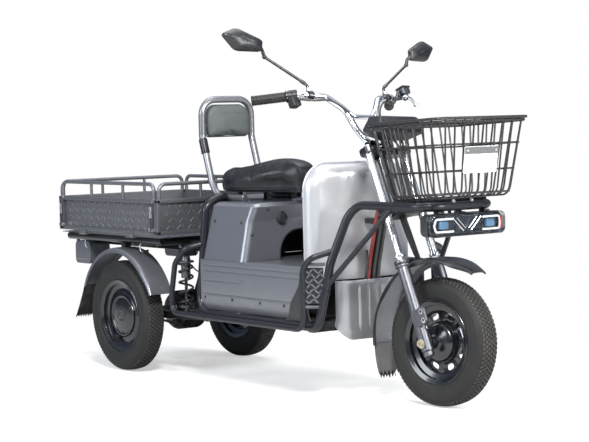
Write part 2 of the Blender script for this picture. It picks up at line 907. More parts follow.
STRIP = Moulded("clip_strip", (0.10, 0.105, 0.11), Skin.SMOOTH, 0.4, 500, 0.00005, dusty=0.1)
GUIDE = Moulded("light_guide", (0.88, 0.9, 0.92), Skin.SMOOTH, 0.25, 500, 0.00003, (0.7, 0.72, 0.75), 0.1)
REFLEX = Moulded("side_reflector", (0.13, 0.135, 0.15), Skin.SMOOTH, 0.2, 600, 0.00004, dusty=0.05, coat=0.6)
CLEAR = Lens("clear_lens", flutes=0.15)
BLUE_LENS = Moulded("blue_block", (0.10, 0.20, 0.32), Skin.SMOOTH, 0.16, 600, 0.00004, dusty=0.03, coat=0.6)
RED_LENS = Moulded("red_block", (0.42, 0.012, 0.010), Skin.SMOOTH, 0.16, 600, 0.00004, dusty=0.03, coat=0.6)
MIRROR_GLASS = Metal("mirror_glass", (0.8, 0.84, 0.9), 0.02, 0.02, 0.0)


# ---------------------------------------------------------------- repeated parts


class Repeater:
    """Copies of one small shape set on a list of places, made with Geometry Nodes."""

    def __init__(self, name: str) -> None:
        """Builds the node tree of that name."""
        tree = bpy.data.node_groups.new(name, "GeometryNodeTree")
        face = tree.interface
        face.new_socket("Places", in_out="INPUT", socket_type="NodeSocketGeometry")
        self.inputs = {}
        kinds = (("Shape", "Object"), ("Finish", "Material"), ("Size", "Float"), ("Uneven", "Float"),
                 ("Seed", "Int"))
        for label, kind in kinds:
            self.inputs[label] = face.new_socket(label, in_out="INPUT",
                                                 socket_type=f"NodeSocket{kind}").identifier
        face.new_socket("Made", in_out="OUTPUT", socket_type="NodeSocketGeometry")
        self.tree = tree
        start = self._add("NodeGroupInput")
        shape = self._add("GeometryNodeObjectInfo", {"Object": start.outputs["Shape"]})
        aim = self._attribute("aim")
        lay = self._attribute("lay")
        turn = self._add("FunctionNodeAxesToRotation", {0: aim, 1: lay})
        turn.primary_axis, turn.secondary_axis = "Z", "X"
        low = self._add("ShaderNodeMath", {0: start.outputs["Size"], 1: start.outputs["Uneven"]})
        low.operation = "SUBTRACT"
        high = self._add("ShaderNodeMath", {0: start.outputs["Size"], 1: start.outputs["Uneven"]})
        vary = self._add("FunctionNodeRandomValue",
                         {2: low.outputs[0], 3: high.outputs[0], 8: start.outputs["Seed"]})
        copies = self._add("GeometryNodeInstanceOnPoints", {
            "Points": start.outputs["Places"], "Instance": shape.outputs["Geometry"],
            "Rotation": turn.outputs[0], "Scale": vary.outputs[1]})
        real = self._add("GeometryNodeRealizeInstances", {0: copies.outputs[0]})
        dress = self._add("GeometryNodeSetMaterial", {0: real.outputs[0], 2: start.outputs["Finish"]})
        self._add("NodeGroupOutput", {0: dress.outputs[0]})

    def _add(self, kind: str, links: Optional[dict] = None) -> bpy.types.Node:
        """Adds a node with its inputs linked."""
        new = self.tree.nodes.new(kind)
        for key, value in (links or {}).items():
            self.tree.links.new(value, new.inputs[key])
        return new

    def _attribute(self, name: str) -> bpy.types.NodeSocket:
        """A vector attribute of the places."""
        new = self.tree.nodes.new("GeometryNodeInputNamedAttribute")
        new.data_type = "FLOAT_VECTOR"
        new.inputs["Name"].default_value = name
        return new.outputs[0]

    def make(
        self,
        name: str,
        shape: Form,
        places: Sequence[tuple[Vector, Vector, Vector]],
        place: Matrix,
        finish: Finish,
        uneven: float = 0.0,
        seed: int = 7,
        smooth: float = 32.0,
    ) -> bpy.types.Object:
        """Sets the shape on every place.

        Args:
            name: the new object's name.
            shape: the shape in millimetres, standing on its own XY plane.
            places: each place with the direction of the shape's Z and of its X, in millimetres.
            place: the matrix to the row frame.
            finish: the finish of the copies.
            uneven: how much the copies differ in size, as a share.
            seed: fixes what is random.
            smooth: the angle for smooth shading, in degrees.

        Returns:
            bpy.types.Object: one plain mesh with all the copies.
        """
        sample = shape.piece(f"{name}_sample", Matrix.Scale(MM, 4), [finish])
        points = bpy.data.meshes.new(f"{name}_places")
        points.from_pydata([place @ spot for spot, _, _ in places], [], [])
        turn = place.to_3x3()
        for label, at in (("aim", 1), ("lay", 2)):
            store = points.attributes.new(label, "FLOAT_VECTOR", "POINT")
            flat = [value for row in places for value in (turn @ row[at]).normalized()]
            store.data.foreach_set("vector", flat)
        holder = bpy.data.objects.new(f"{name}_holder", points)
        bpy.context.scene.collection.objects.link(holder)
        rule = holder.modifiers.new("copies", "NODES")
        rule.node_group = self.tree
        values = {"Shape": sample, "Finish": finish.material(), "Size": 1.0, "Uneven": uneven, "Seed": seed}
        for label, value in values.items():
            rule[self.inputs[label]] = value
        made = plain_copy(holder, name, smooth)
        for spent in (sample, holder):
            bpy.data.objects.remove(spent)
        return made


class WireTree:
    """Round wires along the edges of a mesh, made with Geometry Nodes."""

    def __init__(self, name: str) -> None:
        """Builds the node tree of that name."""
        tree = bpy.data.node_groups.new(name, "GeometryNodeTree")
        face = tree.interface
        face.new_socket("Lines", in_out="INPUT", socket_type="NodeSocketGeometry")
        self.inputs = {}
        for label, kind in (("Radius", "Float"), ("Sides", "Int"), ("Finish", "Material")):
            self.inputs[label] = face.new_socket(label, in_out="INPUT",
                                                 socket_type=f"NodeSocket{kind}").identifier
        face.new_socket("Made", in_out="OUTPUT", socket_type="NodeSocketGeometry")
        add, link = tree.nodes.new, tree.links.new
        start, end = add("NodeGroupInput"), add("NodeGroupOutput")
        lines, section = add("GeometryNodeMeshToCurve"), add("GeometryNodeCurvePrimitiveCircle")
        wires, real = add("GeometryNodeCurveToMesh"), add("GeometryNodeRealizeInstances")
        dress = add("GeometryNodeSetMaterial")
        wires.inputs["Fill Caps"].default_value = True
        link(start.outputs["Lines"], lines.inputs["Mesh"])
        link(start.outputs["Sides"], section.inputs["Resolution"])
        link(start.outputs["Radius"], section.inputs["Radius"])
        link(lines.outputs[0], wires.inputs["Curve"])
        link(section.outputs[0], wires.inputs["Profile Curve"])
        link(wires.outputs[0], real.inputs[0])
        link(real.outputs[0], dress.inputs[0])
        link(start.outputs["Finish"], dress.inputs["Material"])
        link(dress.outputs[0], end.inputs[0])
        self.tree = tree

    def make(
        self, name: str, routes: Sequence[Sequence[Vector]], place: Matrix, radius: float, finish: Finish,
             sides: int = 10
    ) -> bpy.types.Object:
        """Runs a wire along every route.

        Args:
            name: the new object's name.
            routes: the routes in millimetres.
            place: the matrix to the row frame.
            radius: the wire's radius in millimetres.
            finish: the wires' finish.
            sides: the number of sides of a wire.

        Returns:
            bpy.types.Object: one plain mesh with all the wires.
        """
        verts, edges = [], []
        for route in routes:
            start = len(verts)
            verts += [place @ spot for spot in route]
            edges += [(start + i, start + i + 1) for i in range(len(route) - 1)]
        lines = bpy.data.meshes.new(f"{name}_lines")
        lines.from_pydata(verts, edges, [])
        holder = bpy.data.objects.new(f"{name}_holder", lines)
        bpy.context.scene.collection.objects.link(holder)
        rule = holder.modifiers.new("wires", "NODES")
        rule.node_group = self.tree
        for label, value in {"Radius": radius * MM, "Sides": sides, "Finish": finish.material()}.items():
            rule[self.inputs[label]] = value
        made = plain_copy(holder, name, 50)
        bpy.data.objects.remove(holder)
        return made


def plain_copy(source: bpy.types.Object, name: str, smooth: float) -> bpy.types.Object:
    """A plain mesh object of what a source and its modifiers give.

    Args:
        source: an object with live modifiers.
        name: the new object's name.
        smooth: the angle for smooth shading, in degrees.

    Returns:
        bpy.types.Object: the plain object.
    """
    view = bpy.context.evaluated_depsgraph_get()
    mesh = bpy.data.meshes.new_from_object(source.evaluated_get(view), depsgraph=view)
    mesh.name = name
    mesh.shade_smooth()
    mesh.set_sharp_from_angle(angle=math.radians(smooth))
    made = bpy.data.objects.new(name, mesh)
    bpy.context.scene.collection.objects.link(made)
    return made


REPEAT = Repeater("set_on_places")
WIRES = WireTree("wires_on_lines")


def hex_bolt(across: float = 10.0, height: float = 5.0) -> Form:
    """A bolt head on its washer, standing on its own XY plane."""
    bolt = Form().lathe([(across * 0.75, 0), (across * 0.75, 1.2), (across * 0.5, 1.3)], None, 16)
    spots = [(across / 2 * math.cos(math.pi * k / 3), across / 2 * math.sin(math.pi * k / 3))
             for k in range(6)]
    bolt.prism(spots, 1.0, height, "Z", across * 0.06)
    return bolt


def dome_bolt(radius: float = 6.0, height: float = 3.5) -> Form:
    """A round screw head with a socket, standing on its own XY plane."""
    profile = [(radius, 0), (radius, height * 0.3), (radius * 0.86, height * 0.75), (radius * 0.5, height),
               (radius * 0.38, height), (radius * 0.34, height * 0.45)]
    return Form().lathe(profile, None, 14)


# ---------------------------------------------------------------- wheels


def hub_place(side: int, track: float = 551.0) -> Matrix:
    """The frame of a rear wheel: Z runs outwards along its axle."""
    turn = Matrix.Rotation(-side * math.pi / 2, 4, "X")
    return BENCH @ Matrix.Translation((0, side * track / 2, STEER.wheel_radius)) @ turn


def front_hub_place() -> Matrix:
    """The frame of the front wheel: Z runs along its axle to the rider's left."""
    return FORK @ Matrix.Translation((STEER.offset, 0, -STEER.drop)) @ ALONG_Y


@dataclass
class Wheel:
    """A pressed steel wheel with its tyre, in millimetres."""

    radius: float = 216.0
    lip_radius: float = 142.0
    blocks: int = 86
    block_rise: float = 3.6

    def tyre(self) -> Form:
        """The tyre's carcass with rings moulded on its walls."""
        crown = self.radius - self.block_rise
        half = [(127.6, 21), (127.6, 32.6), (142.4, 36), (147, 39.4), (150, 40.2), (151.5, 41.6), (154, 41.8),
                (156, 41.2), (166, 43.4), (178, 44), (188, 42.9), (189.5, 43.6), (192.5, 43), (194, 41.4),
                (201, 38), (206.5, 33.6), (crown - 3.4, 27), (crown - 1.0, 15), (crown, 0)]
        profile = [*half, *[(r, -a) for r, a in reversed(half[:-1])], (196, -24), (196, 24)]
        return Form().lathe(profile, None, 96, 0, True)

    def tread(self) -> list[tuple[Vector, Vector, Vector]]:
        """Places of the tread blocks: rows round the crown and over the shoulders."""
        places = []
        crown = self.radius - self.block_rise
        rows = ((0, 0.5, 0), (10.5, 0, 4), (-10.5, 0, -4), (20.5, 0.5, 12), (-20.5, 0.5, -12), (29.5, 0, 34),
                (-29.5, 0, -34))
        for across, shift, lean in rows:
            drop = 0.0052 * across * across
            for k in range(self.blocks):
                angle = 2 * math.pi * (k + shift) / self.blocks
                out = Vector((math.cos(angle), math.sin(angle), 0))
                round_way = Vector((-out.y, out.x, 0))
                tilt = math.radians(lean)
                aim = out * math.cos(tilt) + Vector((0, 0, math.sin(tilt)))
                skew = round_way + Vector((0, 0, 0.38 * (1 if across >= 0 else -1)))
                lay = skew - aim * skew.dot(aim)
                places.append((out * (crown - drop - 0.8) + Vector((0, 0, across)), aim, lay))
        return places

    def block(self) -> Form:
        """One tread block, standing on its own XY plane."""
        long, wide, rise = 10.8, 8.8, self.block_rise
        low = [(-long / 2, -wide / 2, 0), (long / 2, -wide / 2, 0), (long / 2, wide / 2, 0),
               (-long / 2, wide / 2, 0)]
        top = [(x * 0.86, y * 0.84, rise) for x, y, _ in low]
        return Form().loft([low, top])

    def barrel(self) -> Form:
        """The rim's barrel with its curled lips and drop centre."""
        outer = [(self.lip_radius, 36.6), (128.5, 33.2), (126.8, 31), (126.6, 19), (109.5, 14.4), (109, 13)]
        lip = [(self.lip_radius - 1, 38.4), (139, 39.6), (135.6, 38.9), (133.2, 37.2), (124.2, 33.4),
               (123.2, 31),
               (123, 21), (106.6, 15.8), (105.8, 13)]
        profile = [*outer, *[(r, -a) for r, a in reversed(outer)],
                   *[(r, -a) for r, a in lip], *reversed(lip)]
        return Form().lathe(profile, None, 96, 0, True)

    def valve(self, form: Form, side: int, angle: float) -> Form:
        """A rubber valve with its cap, standing in the drop centre."""
        out = Vector((math.cos(angle), math.sin(angle), 0))
        root = out * 107 + Vector((0, 0, side * 8))
        tip = out * 86 + Vector((0, 0, side * 33))
        return form.tube([root, root.lerp(tip, 0.45), tip], lambda s: lerp(6.4, 3.2, s), 0, 12, 1)

    def rear_rim(self) -> Form:
        """A rear wheel: the barrel, the pressed disc and the round hub cap, left bare."""
        form = self.barrel()
        disc = [(18.2, 5), (107.6, 5), (107.6, 10.6), (98, 11.4), (91, 13.6), (86, 14), (83, 16.5),
                (82.4, 21),
                (80.5, 24), (76.5, 25.2), (72.5, 24), (69.5, 21.6), (60, 23.4), (44, 25.6), (30, 26.6),
                (25.5, 26.7), (24, 28.6), (21.5, 29.2), (18.5, 28), (16.5, 26.6), (0.1, 26.9)]
        form.lathe(disc, None, 72)
        for k in range(3):
            turn = Matrix.Rotation(2 * math.pi * k / 3 + 0.5, 4, "Z") @ Matrix.Translation((64, 0, 22.4))
            form.lathe([(5.2, 0), (5.2, 1.6), (3.8, 2.6), (1.8, 2.6), (1.6, 1.4)], turn, 14)
        return self.valve(form, 1, math.radians(-112))

    def front_rim(self, windows: int = 8) -> Form:
        """The front wheel: a disc with slots in it, and the domed brake drum in its middle."""
        form = self.barrel()
        drum = [(66, 4), (66.5, 18), (65.5, 24), (61, 30), (52, 34), (40, 37.5), (30, 39.5), (26, 42),
                (21, 46),
                (19.5, 54), (17.5, 60), (13, 62.5), (8.2, 63.4)]
        form.lathe([*[(r, -a) for r, a in reversed(drum[:-1])], *drum, (8.2, -63.4)], None, 64, 0, True)
        for rib in (10, -10):
            form.lathe([(65, rib - 1.6), (68.6, rib - 1.2), (68.6, rib + 1.2), (65, rib + 1.6)], None, 64, 0,
                       True)
        for k in range(windows):
            self._slotted(form, 2 * math.pi * k / windows, math.pi / windows)
        return self.valve(form, -1, math.radians(96))

    @staticmethod
    def _slotted(form: Form, middle: float, half: float) -> None:
        """Adds one sector of the disc with a rounded slot in it.

        Args:
            form: the rim.
            middle: the angle of the sector's middle.
            half: half of the sector's angle.
        """
        inner, outer, count = 64.0, 107.5, 6
        edge = [(outer, lerp(-half, half, i / count)) for i in range(count)]
        edge += [(lerp(outer, inner, i / count), half) for i in range(count)]
        edge += [(inner, lerp(half, -half, i / count)) for i in range(count)]
        edge += [(lerp(inner, outer, i / count), -half) for i in range(count)]
        slot = []
        for radius, angle in edge:
            u, v = (radius - 88) / 21.5, angle / half
            reach = (abs(u) ** 3.2 + abs(v) ** 3.2) ** (1 / 3.2)
            slot.append((88 + 10.5 * u / reach, 0.56 * half * v / reach))
        rings = []
        for line, lift in ((edge, 4.0), (slot, 6.5), (slot, -6.5), (edge, -4.0)):
            rings.append([(r * math.cos(a + middle), r * math.sin(a + middle), lift) for r, a in line])
        total = len(edge)
        verts = [Vector(p) for ring in rings for p in ring]
        faces = []
        for r in range(4):
            for i in range(total):
                a, b = r * total + i, r * total + (i + 1) % total
                c = ((r + 1) % 4) * total
                faces.append((a, b, c + (i + 1) % total, c + i))
        form.solid((verts, faces), 0)

    def build(self) -> None:
        """Makes the three wheels."""
        sets = [(f"rear_{{}}_{side_name(s)}", hub_place(s), f"rear_wheel_{side_name(s)}", self.rear_rim)
                for s in SIDES]
        sets.append(("front_{}", front_hub_place(), "front_wheel", self.front_rim))
        for label, place, body, rim in sets:
            base = self.tyre().piece(label.format("tyre_wall"), place, [TYRE], 40)
            tread = self._treads(label, place)
            for part in (base, tread):  # the lowest blocks stand flat on the ground
                for vert in part.data.vertices:
                    vert.co.z = max(vert.co.z, 0.0)
            settle(base, body, [label.format("tyre")])
            settle(tread, body)
            settle(rim().piece(label.format("wheel_rim"), place, [RIM, GLOSS]), body,
                   [label.format("rim")])

    def _treads(self, label: str, place: Matrix) -> bpy.types.Object:
        """The tread blocks of one tyre."""
        return REPEAT.make(label.format("tyre_tread"), self.block(), self.tread(), place, TREAD, 0.03, 5)


# ---------------------------------------------------------------- chassis


@dataclass
class Chassis:
    """The welded frame under the body, the rear axle and its suspension."""

    rail: float = 30.0
    rail_half: float = 150.0
    deck_half: float = 273.0
    deck_z: float = 513.0
    deck_tube: float = 15.0
    shock_x: float = 290.0
    shock_half: float = 190.0
    coil_radius: float = 26.0
    coil: float = 4.2

    def frame_form(self) -> Form:
        """The frame's tubes, rails, posts and brackets."""
        form = Form()
        z, half = self.deck_z, self.deck_half
        for x in (-412, -83, 245):
            form.tube([(x, -half, z), (x, half, z)], self.deck_tube, 0, 18)
        for side in SIDES:
            form.tube([(-428, side * half, z), (261, side * half, z)], self.deck_tube, 0, 18)
            low, high = sorted(side * (self.rail_half + way * self.rail / 2) for way in SIDES)
            form.block((400, low, 236), (1150, high, 276), 4)
            form.block((-400, low, 473), (470, high, 503), 4)
            form.block((425, low, 272), (455, high, 477), 3)
            form.block((510, low, 272), (530, high, 451.7), 3)
            form.block((1058, low, 272), (1078, high, 451.7), 3)
            form.block((448, low if side > 0 else side * 150, 498),
                       (470, high if side < 0 else side * 150, 664), 2)
            form.block((-14, side * 259, 481.4), (14, side * 287, 500), 2)
            form.block((272, side * 150, 455.4), (308, side * 208, 487), 2)
            form.rod((430, side * 201.3, 235), (430, side * 206.3, 235), 13, 6)
            gusset = [(455, 300), (455, 345), (510, 277), (465, 277)]
            form.prism(gusset, side * 148, side * 152, "Y", 0.6)
        form.block((448, -150, 646), (496, 150, 668), 2)
        form.block((1115, -246, 236), (1145, 246, 272), 3)
        form.block((755, -246, 236), (785, 246, 271), 3)
        form.block((1015, -150, 236), (1050, 150, 271), 3)
        form.rod((430, -172.7, 235), (430, 172.7, 235), 16, 20)
        form.rod((430, -203, 235), (430, 203, 235), 8, 16)
        axis = STEER.on_axis
        form.tube([axis(472), axis(474), axis(658), axis(660)], lambda s: 24, 0, 28)
        for low, high in ((472, 482), (650, 660)):
            form.tube([axis(low), axis(high)], 26.5, 0, 28)
        form.tube([axis(560), (1192.5, 0, 470), (1150, 0, 251)], 19, 70, 22)
        form.block((1160.3, -20, 600), (1211.5, 20, 620), 2)
        form.block((1150, -20, 300), (1201.4, 20, 320), 2)
        return form

    def axle_form(self) -> Form:
        """The beam with its finned motor, drums, trailing arms and the lower shock seats."""
        wheel = STEER.wheel_radius
        form = Form()
        turn = Matrix.Translation((0, 0, wheel)) @ ALONG_Y
        form.tube([(0, -236, wheel), (0, 236, wheel)], 23, 0, 24)
        motor = [(30, -78), (41, -77), (46, -70), (60, -66), (68, -58), (74, -50), (75, -46)]
        form.lathe([*motor, *[(r, -a) for r, a in reversed(motor)]], turn, 40)
        for k in range(9):
            at = -40 + 10 * k
            form.lathe([(70, at - 1.3), (77.5, at - 0.9), (77.5, at + 0.9), (70, at + 1.3)], turn, 40, 0,
                       True)
        for side in SIDES:
            plane = side * 275.5
            drum = [(30, -40), (66, -39), (73, -35), (75, -30), (75, -8), (72, -3), (70, 4.4), (30, 4.6)]
            form.lathe(drum,
                       Matrix.Translation((0, plane, wheel)) @ (ALONG_Y if side > 0 else ALONG_Y.inverted()),
                       40)
            form.tube([(0, plane, wheel), (0, plane + side * 10.6, wheel)], 14, 0, 18)
            arm = [(0, wheel - 15), (430, 220), (430, 250), (0, wheel + 15)]
            form.prism(arm, side * 173, side * 201, "Y", 3)
            form.tube([(430, side * 173, 235), (430, side * 201, 235)], 20, 0, 24)
            x, y = self.shock_x, side * self.shock_half
            seat = [(9, -36), (9, -10), (30, -8), (31, -3), (30, 0), (26, 0), (6, 0), (6, 117)]
            form.lathe(seat, Matrix.Translation((x, y, 268)), 28)
            form.block((-16, side * 165, wheel + 10), (16, side * 205, wheel + 34), 3)
        form.tube([(60, -40, 150), (60, -150, 190)], 5, 0, 10)
        return form

    def spring(self, side: int) -> Form:
        """A coil spring with level ends.

        Args:
            side: 1 for the rider's left, -1 for the right.

        Returns:
            Form: the spring.
        """
        curls, steps = 5, 24
        low, high = 268.4 + self.coil, 429.8 - self.coil
        spots = []
        for i in range(curls * steps + 1):
            turns = i / steps
            level = min(1, max(0, (turns - 0.5) / (curls - 1)))
            lift = smoothed((turns - 0.3) / (curls - 0.6)) * 0.25 + level * 0.75
            angle = 2 * math.pi * turns
            x = self.shock_x + self.coil_radius * math.cos(angle)
            y = side * self.shock_half + self.coil_radius * math.sin(angle)
            spots.append((x, y, lerp(low, high, lift)))
        return Form().tube(spots, self.coil, 0, 10)

    def shock(self, side: int) -> Form:
        """The shock's body with its spring collar and top eye."""
        profile = [(15.4, 372), (18, 373), (18, 428), (24, 430.4), (32, 431), (32, 437), (28, 439), (19, 440),
                   (18, 444), (17, 455)]
        return Form().lathe(profile, Matrix.Translation((self.shock_x, side * self.shock_half, 0)), 32)

    def build(self) -> None:
        """Makes the frame, the axle, the springs and the shocks."""
        settle(self.frame_form().piece("frame_tubes", BENCH, [BLACK]), "chassis",
               ["main_frame"])
        settle(self.axle_form().piece("axle_beam", BENCH, [BLACK]), "rear_swing_axle",
               ["rear_axle"])
        for side in SIDES:
            name = side_name(side)
            settle(self.shock(side).piece(f"shock_body_{name}", BENCH, [ALLOY]), "chassis",
                   [f"rear_shock_{name}"])
            coil = self.spring(side).piece(f"shock_coil_{name}", BENCH, [TUBE])
            settle(coil, "chassis", [f"rear_spring_{name}"])
            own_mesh(coil)
        bolts = []
        for side in SIDES:
            spots = [(430, 206, 235), *[(x, 165, 488) for x in (-300, -120, 60, 220)],
                     *[(x, 165, 256) for x in (600, 900, 1120)]]
            bolts += [(Vector((x, side * y, z)), Vector((0, side, 0)), Vector((1, 0, 0))) for x, y,
                      z in spots]
        made = REPEAT.make("frame_bolts", hex_bolt(11, 5.5), bolts, BENCH, ZINC)
        settle(made, "chassis")


@dataclass
class RearFender:
    """A pressed rear fender with its rolled edges, flared front and mudflap."""

    radius: float = 265.0
    inner: float = 226.0
    outer: float = 326.0
    sheet: float = 2.6
    front: float = 21.5
    rear: float = 156.0
    lip: float = 16.0
    flap_length: float = 165.0
    slope: float = 0.5
    slots: tuple[tuple[float, float, float, float, float], ...] = (
        (88, 27, 4.5, 3.2, 0.18), (30, 33, 4.5, 3.2, 0.18), (62, 58, 3.6, 4, 0.2), (24, 60, 3.6, 4, 0.2))

    def skin(self, side: int) -> list[list[Vector]]:
        """The outer face: rows along the arc, columns from the wheel side to the outer edge.

        Args:
            side: 1 for the rider's left, -1 for the right.

        Returns:
            list[list[Vector]]: the rows, in the order that turns the sheet outwards.
        """
        rows = []
        section = [(0, -self.lip), (0.3, -7), (2.4, -2.2), (7, 0.0), (22, 1.2), (50, 1.9), (78, 1.2),
                   (93, 0.0),
                   (97.6, -2.2), (99.7, -7), (100, -self.lip)]
        section = [(a, h - 1.9) for a, h in section]
        steps = 40
        for i in range(steps + 1):
            share = i / steps
            angle = math.radians(lerp(self.front, self.rear, share))
            flare = smoothed((0.16 - share) / 0.16)
            rows.append([])
            for across, height in section:
                drop = height * lerp(1, 0.55, flare) + 3.0 * flare * (across / 100) ** 2
                radius = self.radius + min(drop, 0)
                y = side * (self.inner + across)
                rows[-1].append(Vector((radius * math.cos(angle), y,
                                        STEER.wheel_radius + radius * math.sin(angle))))
        return rows if side > 0 else rows[::-1]

    def flap(self, side: int) -> Form:
        """The rubber mudflap: a little curved, its hem torn in teeth.

        Args:
            side: 1 for the rider's left, -1 for the right.

        Returns:
            Form: the flap.
        """
        angle = math.radians(self.rear)
        reach = self.radius - 2.6
        x0, z0 = reach * math.cos(angle), STEER.wheel_radius + reach * math.sin(angle) + 8
        top, teeth, rows = [], 8, 9
        middle = (self.inner + self.outer) / 2
        for r in range(rows):
            share = r / (rows - 1)
            line = []
            for c in range(2 * teeth + 1):
                y = middle + lerp(-44, 44, c / (2 * teeth)) * (1 + 0.02 * share)
                down = self.flap_length * share
                if r == rows - 1:
                    down -= (14 if c % 2 else 0) + 5 * (noise.noise((c * 0.9, side, 3.1)))
                curve = 3.5 * math.sin(math.pi * share)
                line.append(Vector((x0 - down * math.sin(self.slope) + curve, side * y,
                                    z0 - down * math.cos(self.slope))))
            top.append(line)
        grid = top if side > 0 else [line[::-1] for line in top]
        return Form().sheet(grid, 3.6)

    def build(self) -> None:
        """Makes both fenders, their slots and flaps."""
        for side in SIDES:
            name = side_name(side)
            form = Form().sheet(self.skin(side), self.sheet)
            stay, reach = math.radians(72), self.radius - 6
            spot = Vector((reach * math.cos(stay), side * 262, STEER.wheel_radius + reach * math.sin(stay)))
            form.tube([spot, spot + Vector((0, -side * 40, 6))], 5, 0, 8, 1)
            for across, degrees, half, size, flat in self.slots:
                angle = math.radians(degrees)
                spot = Vector((math.cos(angle), 0, math.sin(angle))) * (self.radius + 0.1)
                spot += Vector((0, side * (self.inner + across), STEER.wheel_radius))
                way = Vector((-math.sin(angle), 0, math.cos(angle))) * half
                form.tube([spot - way, spot + way], size, 0, 10, 1, flat=flat)
            settle(form.piece(f"fender_{name}", BENCH, [BODY, FLAP], 50), "chassis",
                   [f"rear_fender_{name}"])
            settle(self.flap(side).piece(f"mudflap_{name}", BENCH, [FLAP]), "chassis")


@dataclass
class TailLamp:
    """A tail lamp: a painted housing with a reflector strip, its lens to the rear, and a cable."""

    rear: float = -413.0
    front: float = -290.0
    inner: float = 168.0
    outer: float = 266.0
    bottom: float = 400.0
    top: float = 492.0

    def build(self) -> None:
        """Makes both lamps."""
        for side in SIDES:
            low, high = sorted((side * self.inner, side * self.outer))
            form = Form()
            outline = rounded_box((self.rear + 10, self.front), (self.bottom, self.top), 16, 6)
            form.prism(outline, low + 1, high - 1, "Y", 3.2)
            lens = rounded_box((low + 5, high - 5), (self.bottom + 5, self.top - 5), 12, 5)
            form.prism(lens, self.rear + 2, self.rear + 12, "X", 2.5, 1)
            face = side * self.outer
            form.block((self.rear + 22, face - side * 2, self.bottom + 15),
                       (self.front - 18, face + side * 0.6, self.bottom + 21), 0.5, 2)
            form.prism(rounded_box((self.rear + 18, self.front - 12), (self.bottom + 27, self.top - 8), 8, 4),
                       face - side * 2, face + side * 0.5, "Y", 0.4)
            form.block((-419, side * 240, 488), (-405, side * 250, 499), 1.5)
            start = Vector((self.front - 40, side * 225, self.bottom + 4))
            lead = curve_points([start, start + Vector((8, 0, -22)), start + Vector((40, side * 4, -46)),
                                 start + Vector((86, side * 2, -66)), start + Vector((132, -side * 8, -60))],
                                20)
            form.tube(lead, 3, 0, 10, 3)
            name = side_name(side)
            finishes = [BODY, RED_LENS, REFLEX, CABLE]
            settle(form.piece(f"lamp_{name}", BENCH, finishes), "chassis", [f"tail_lamp_{name}"])


# ---------------------------------------------------------------- cargo bed


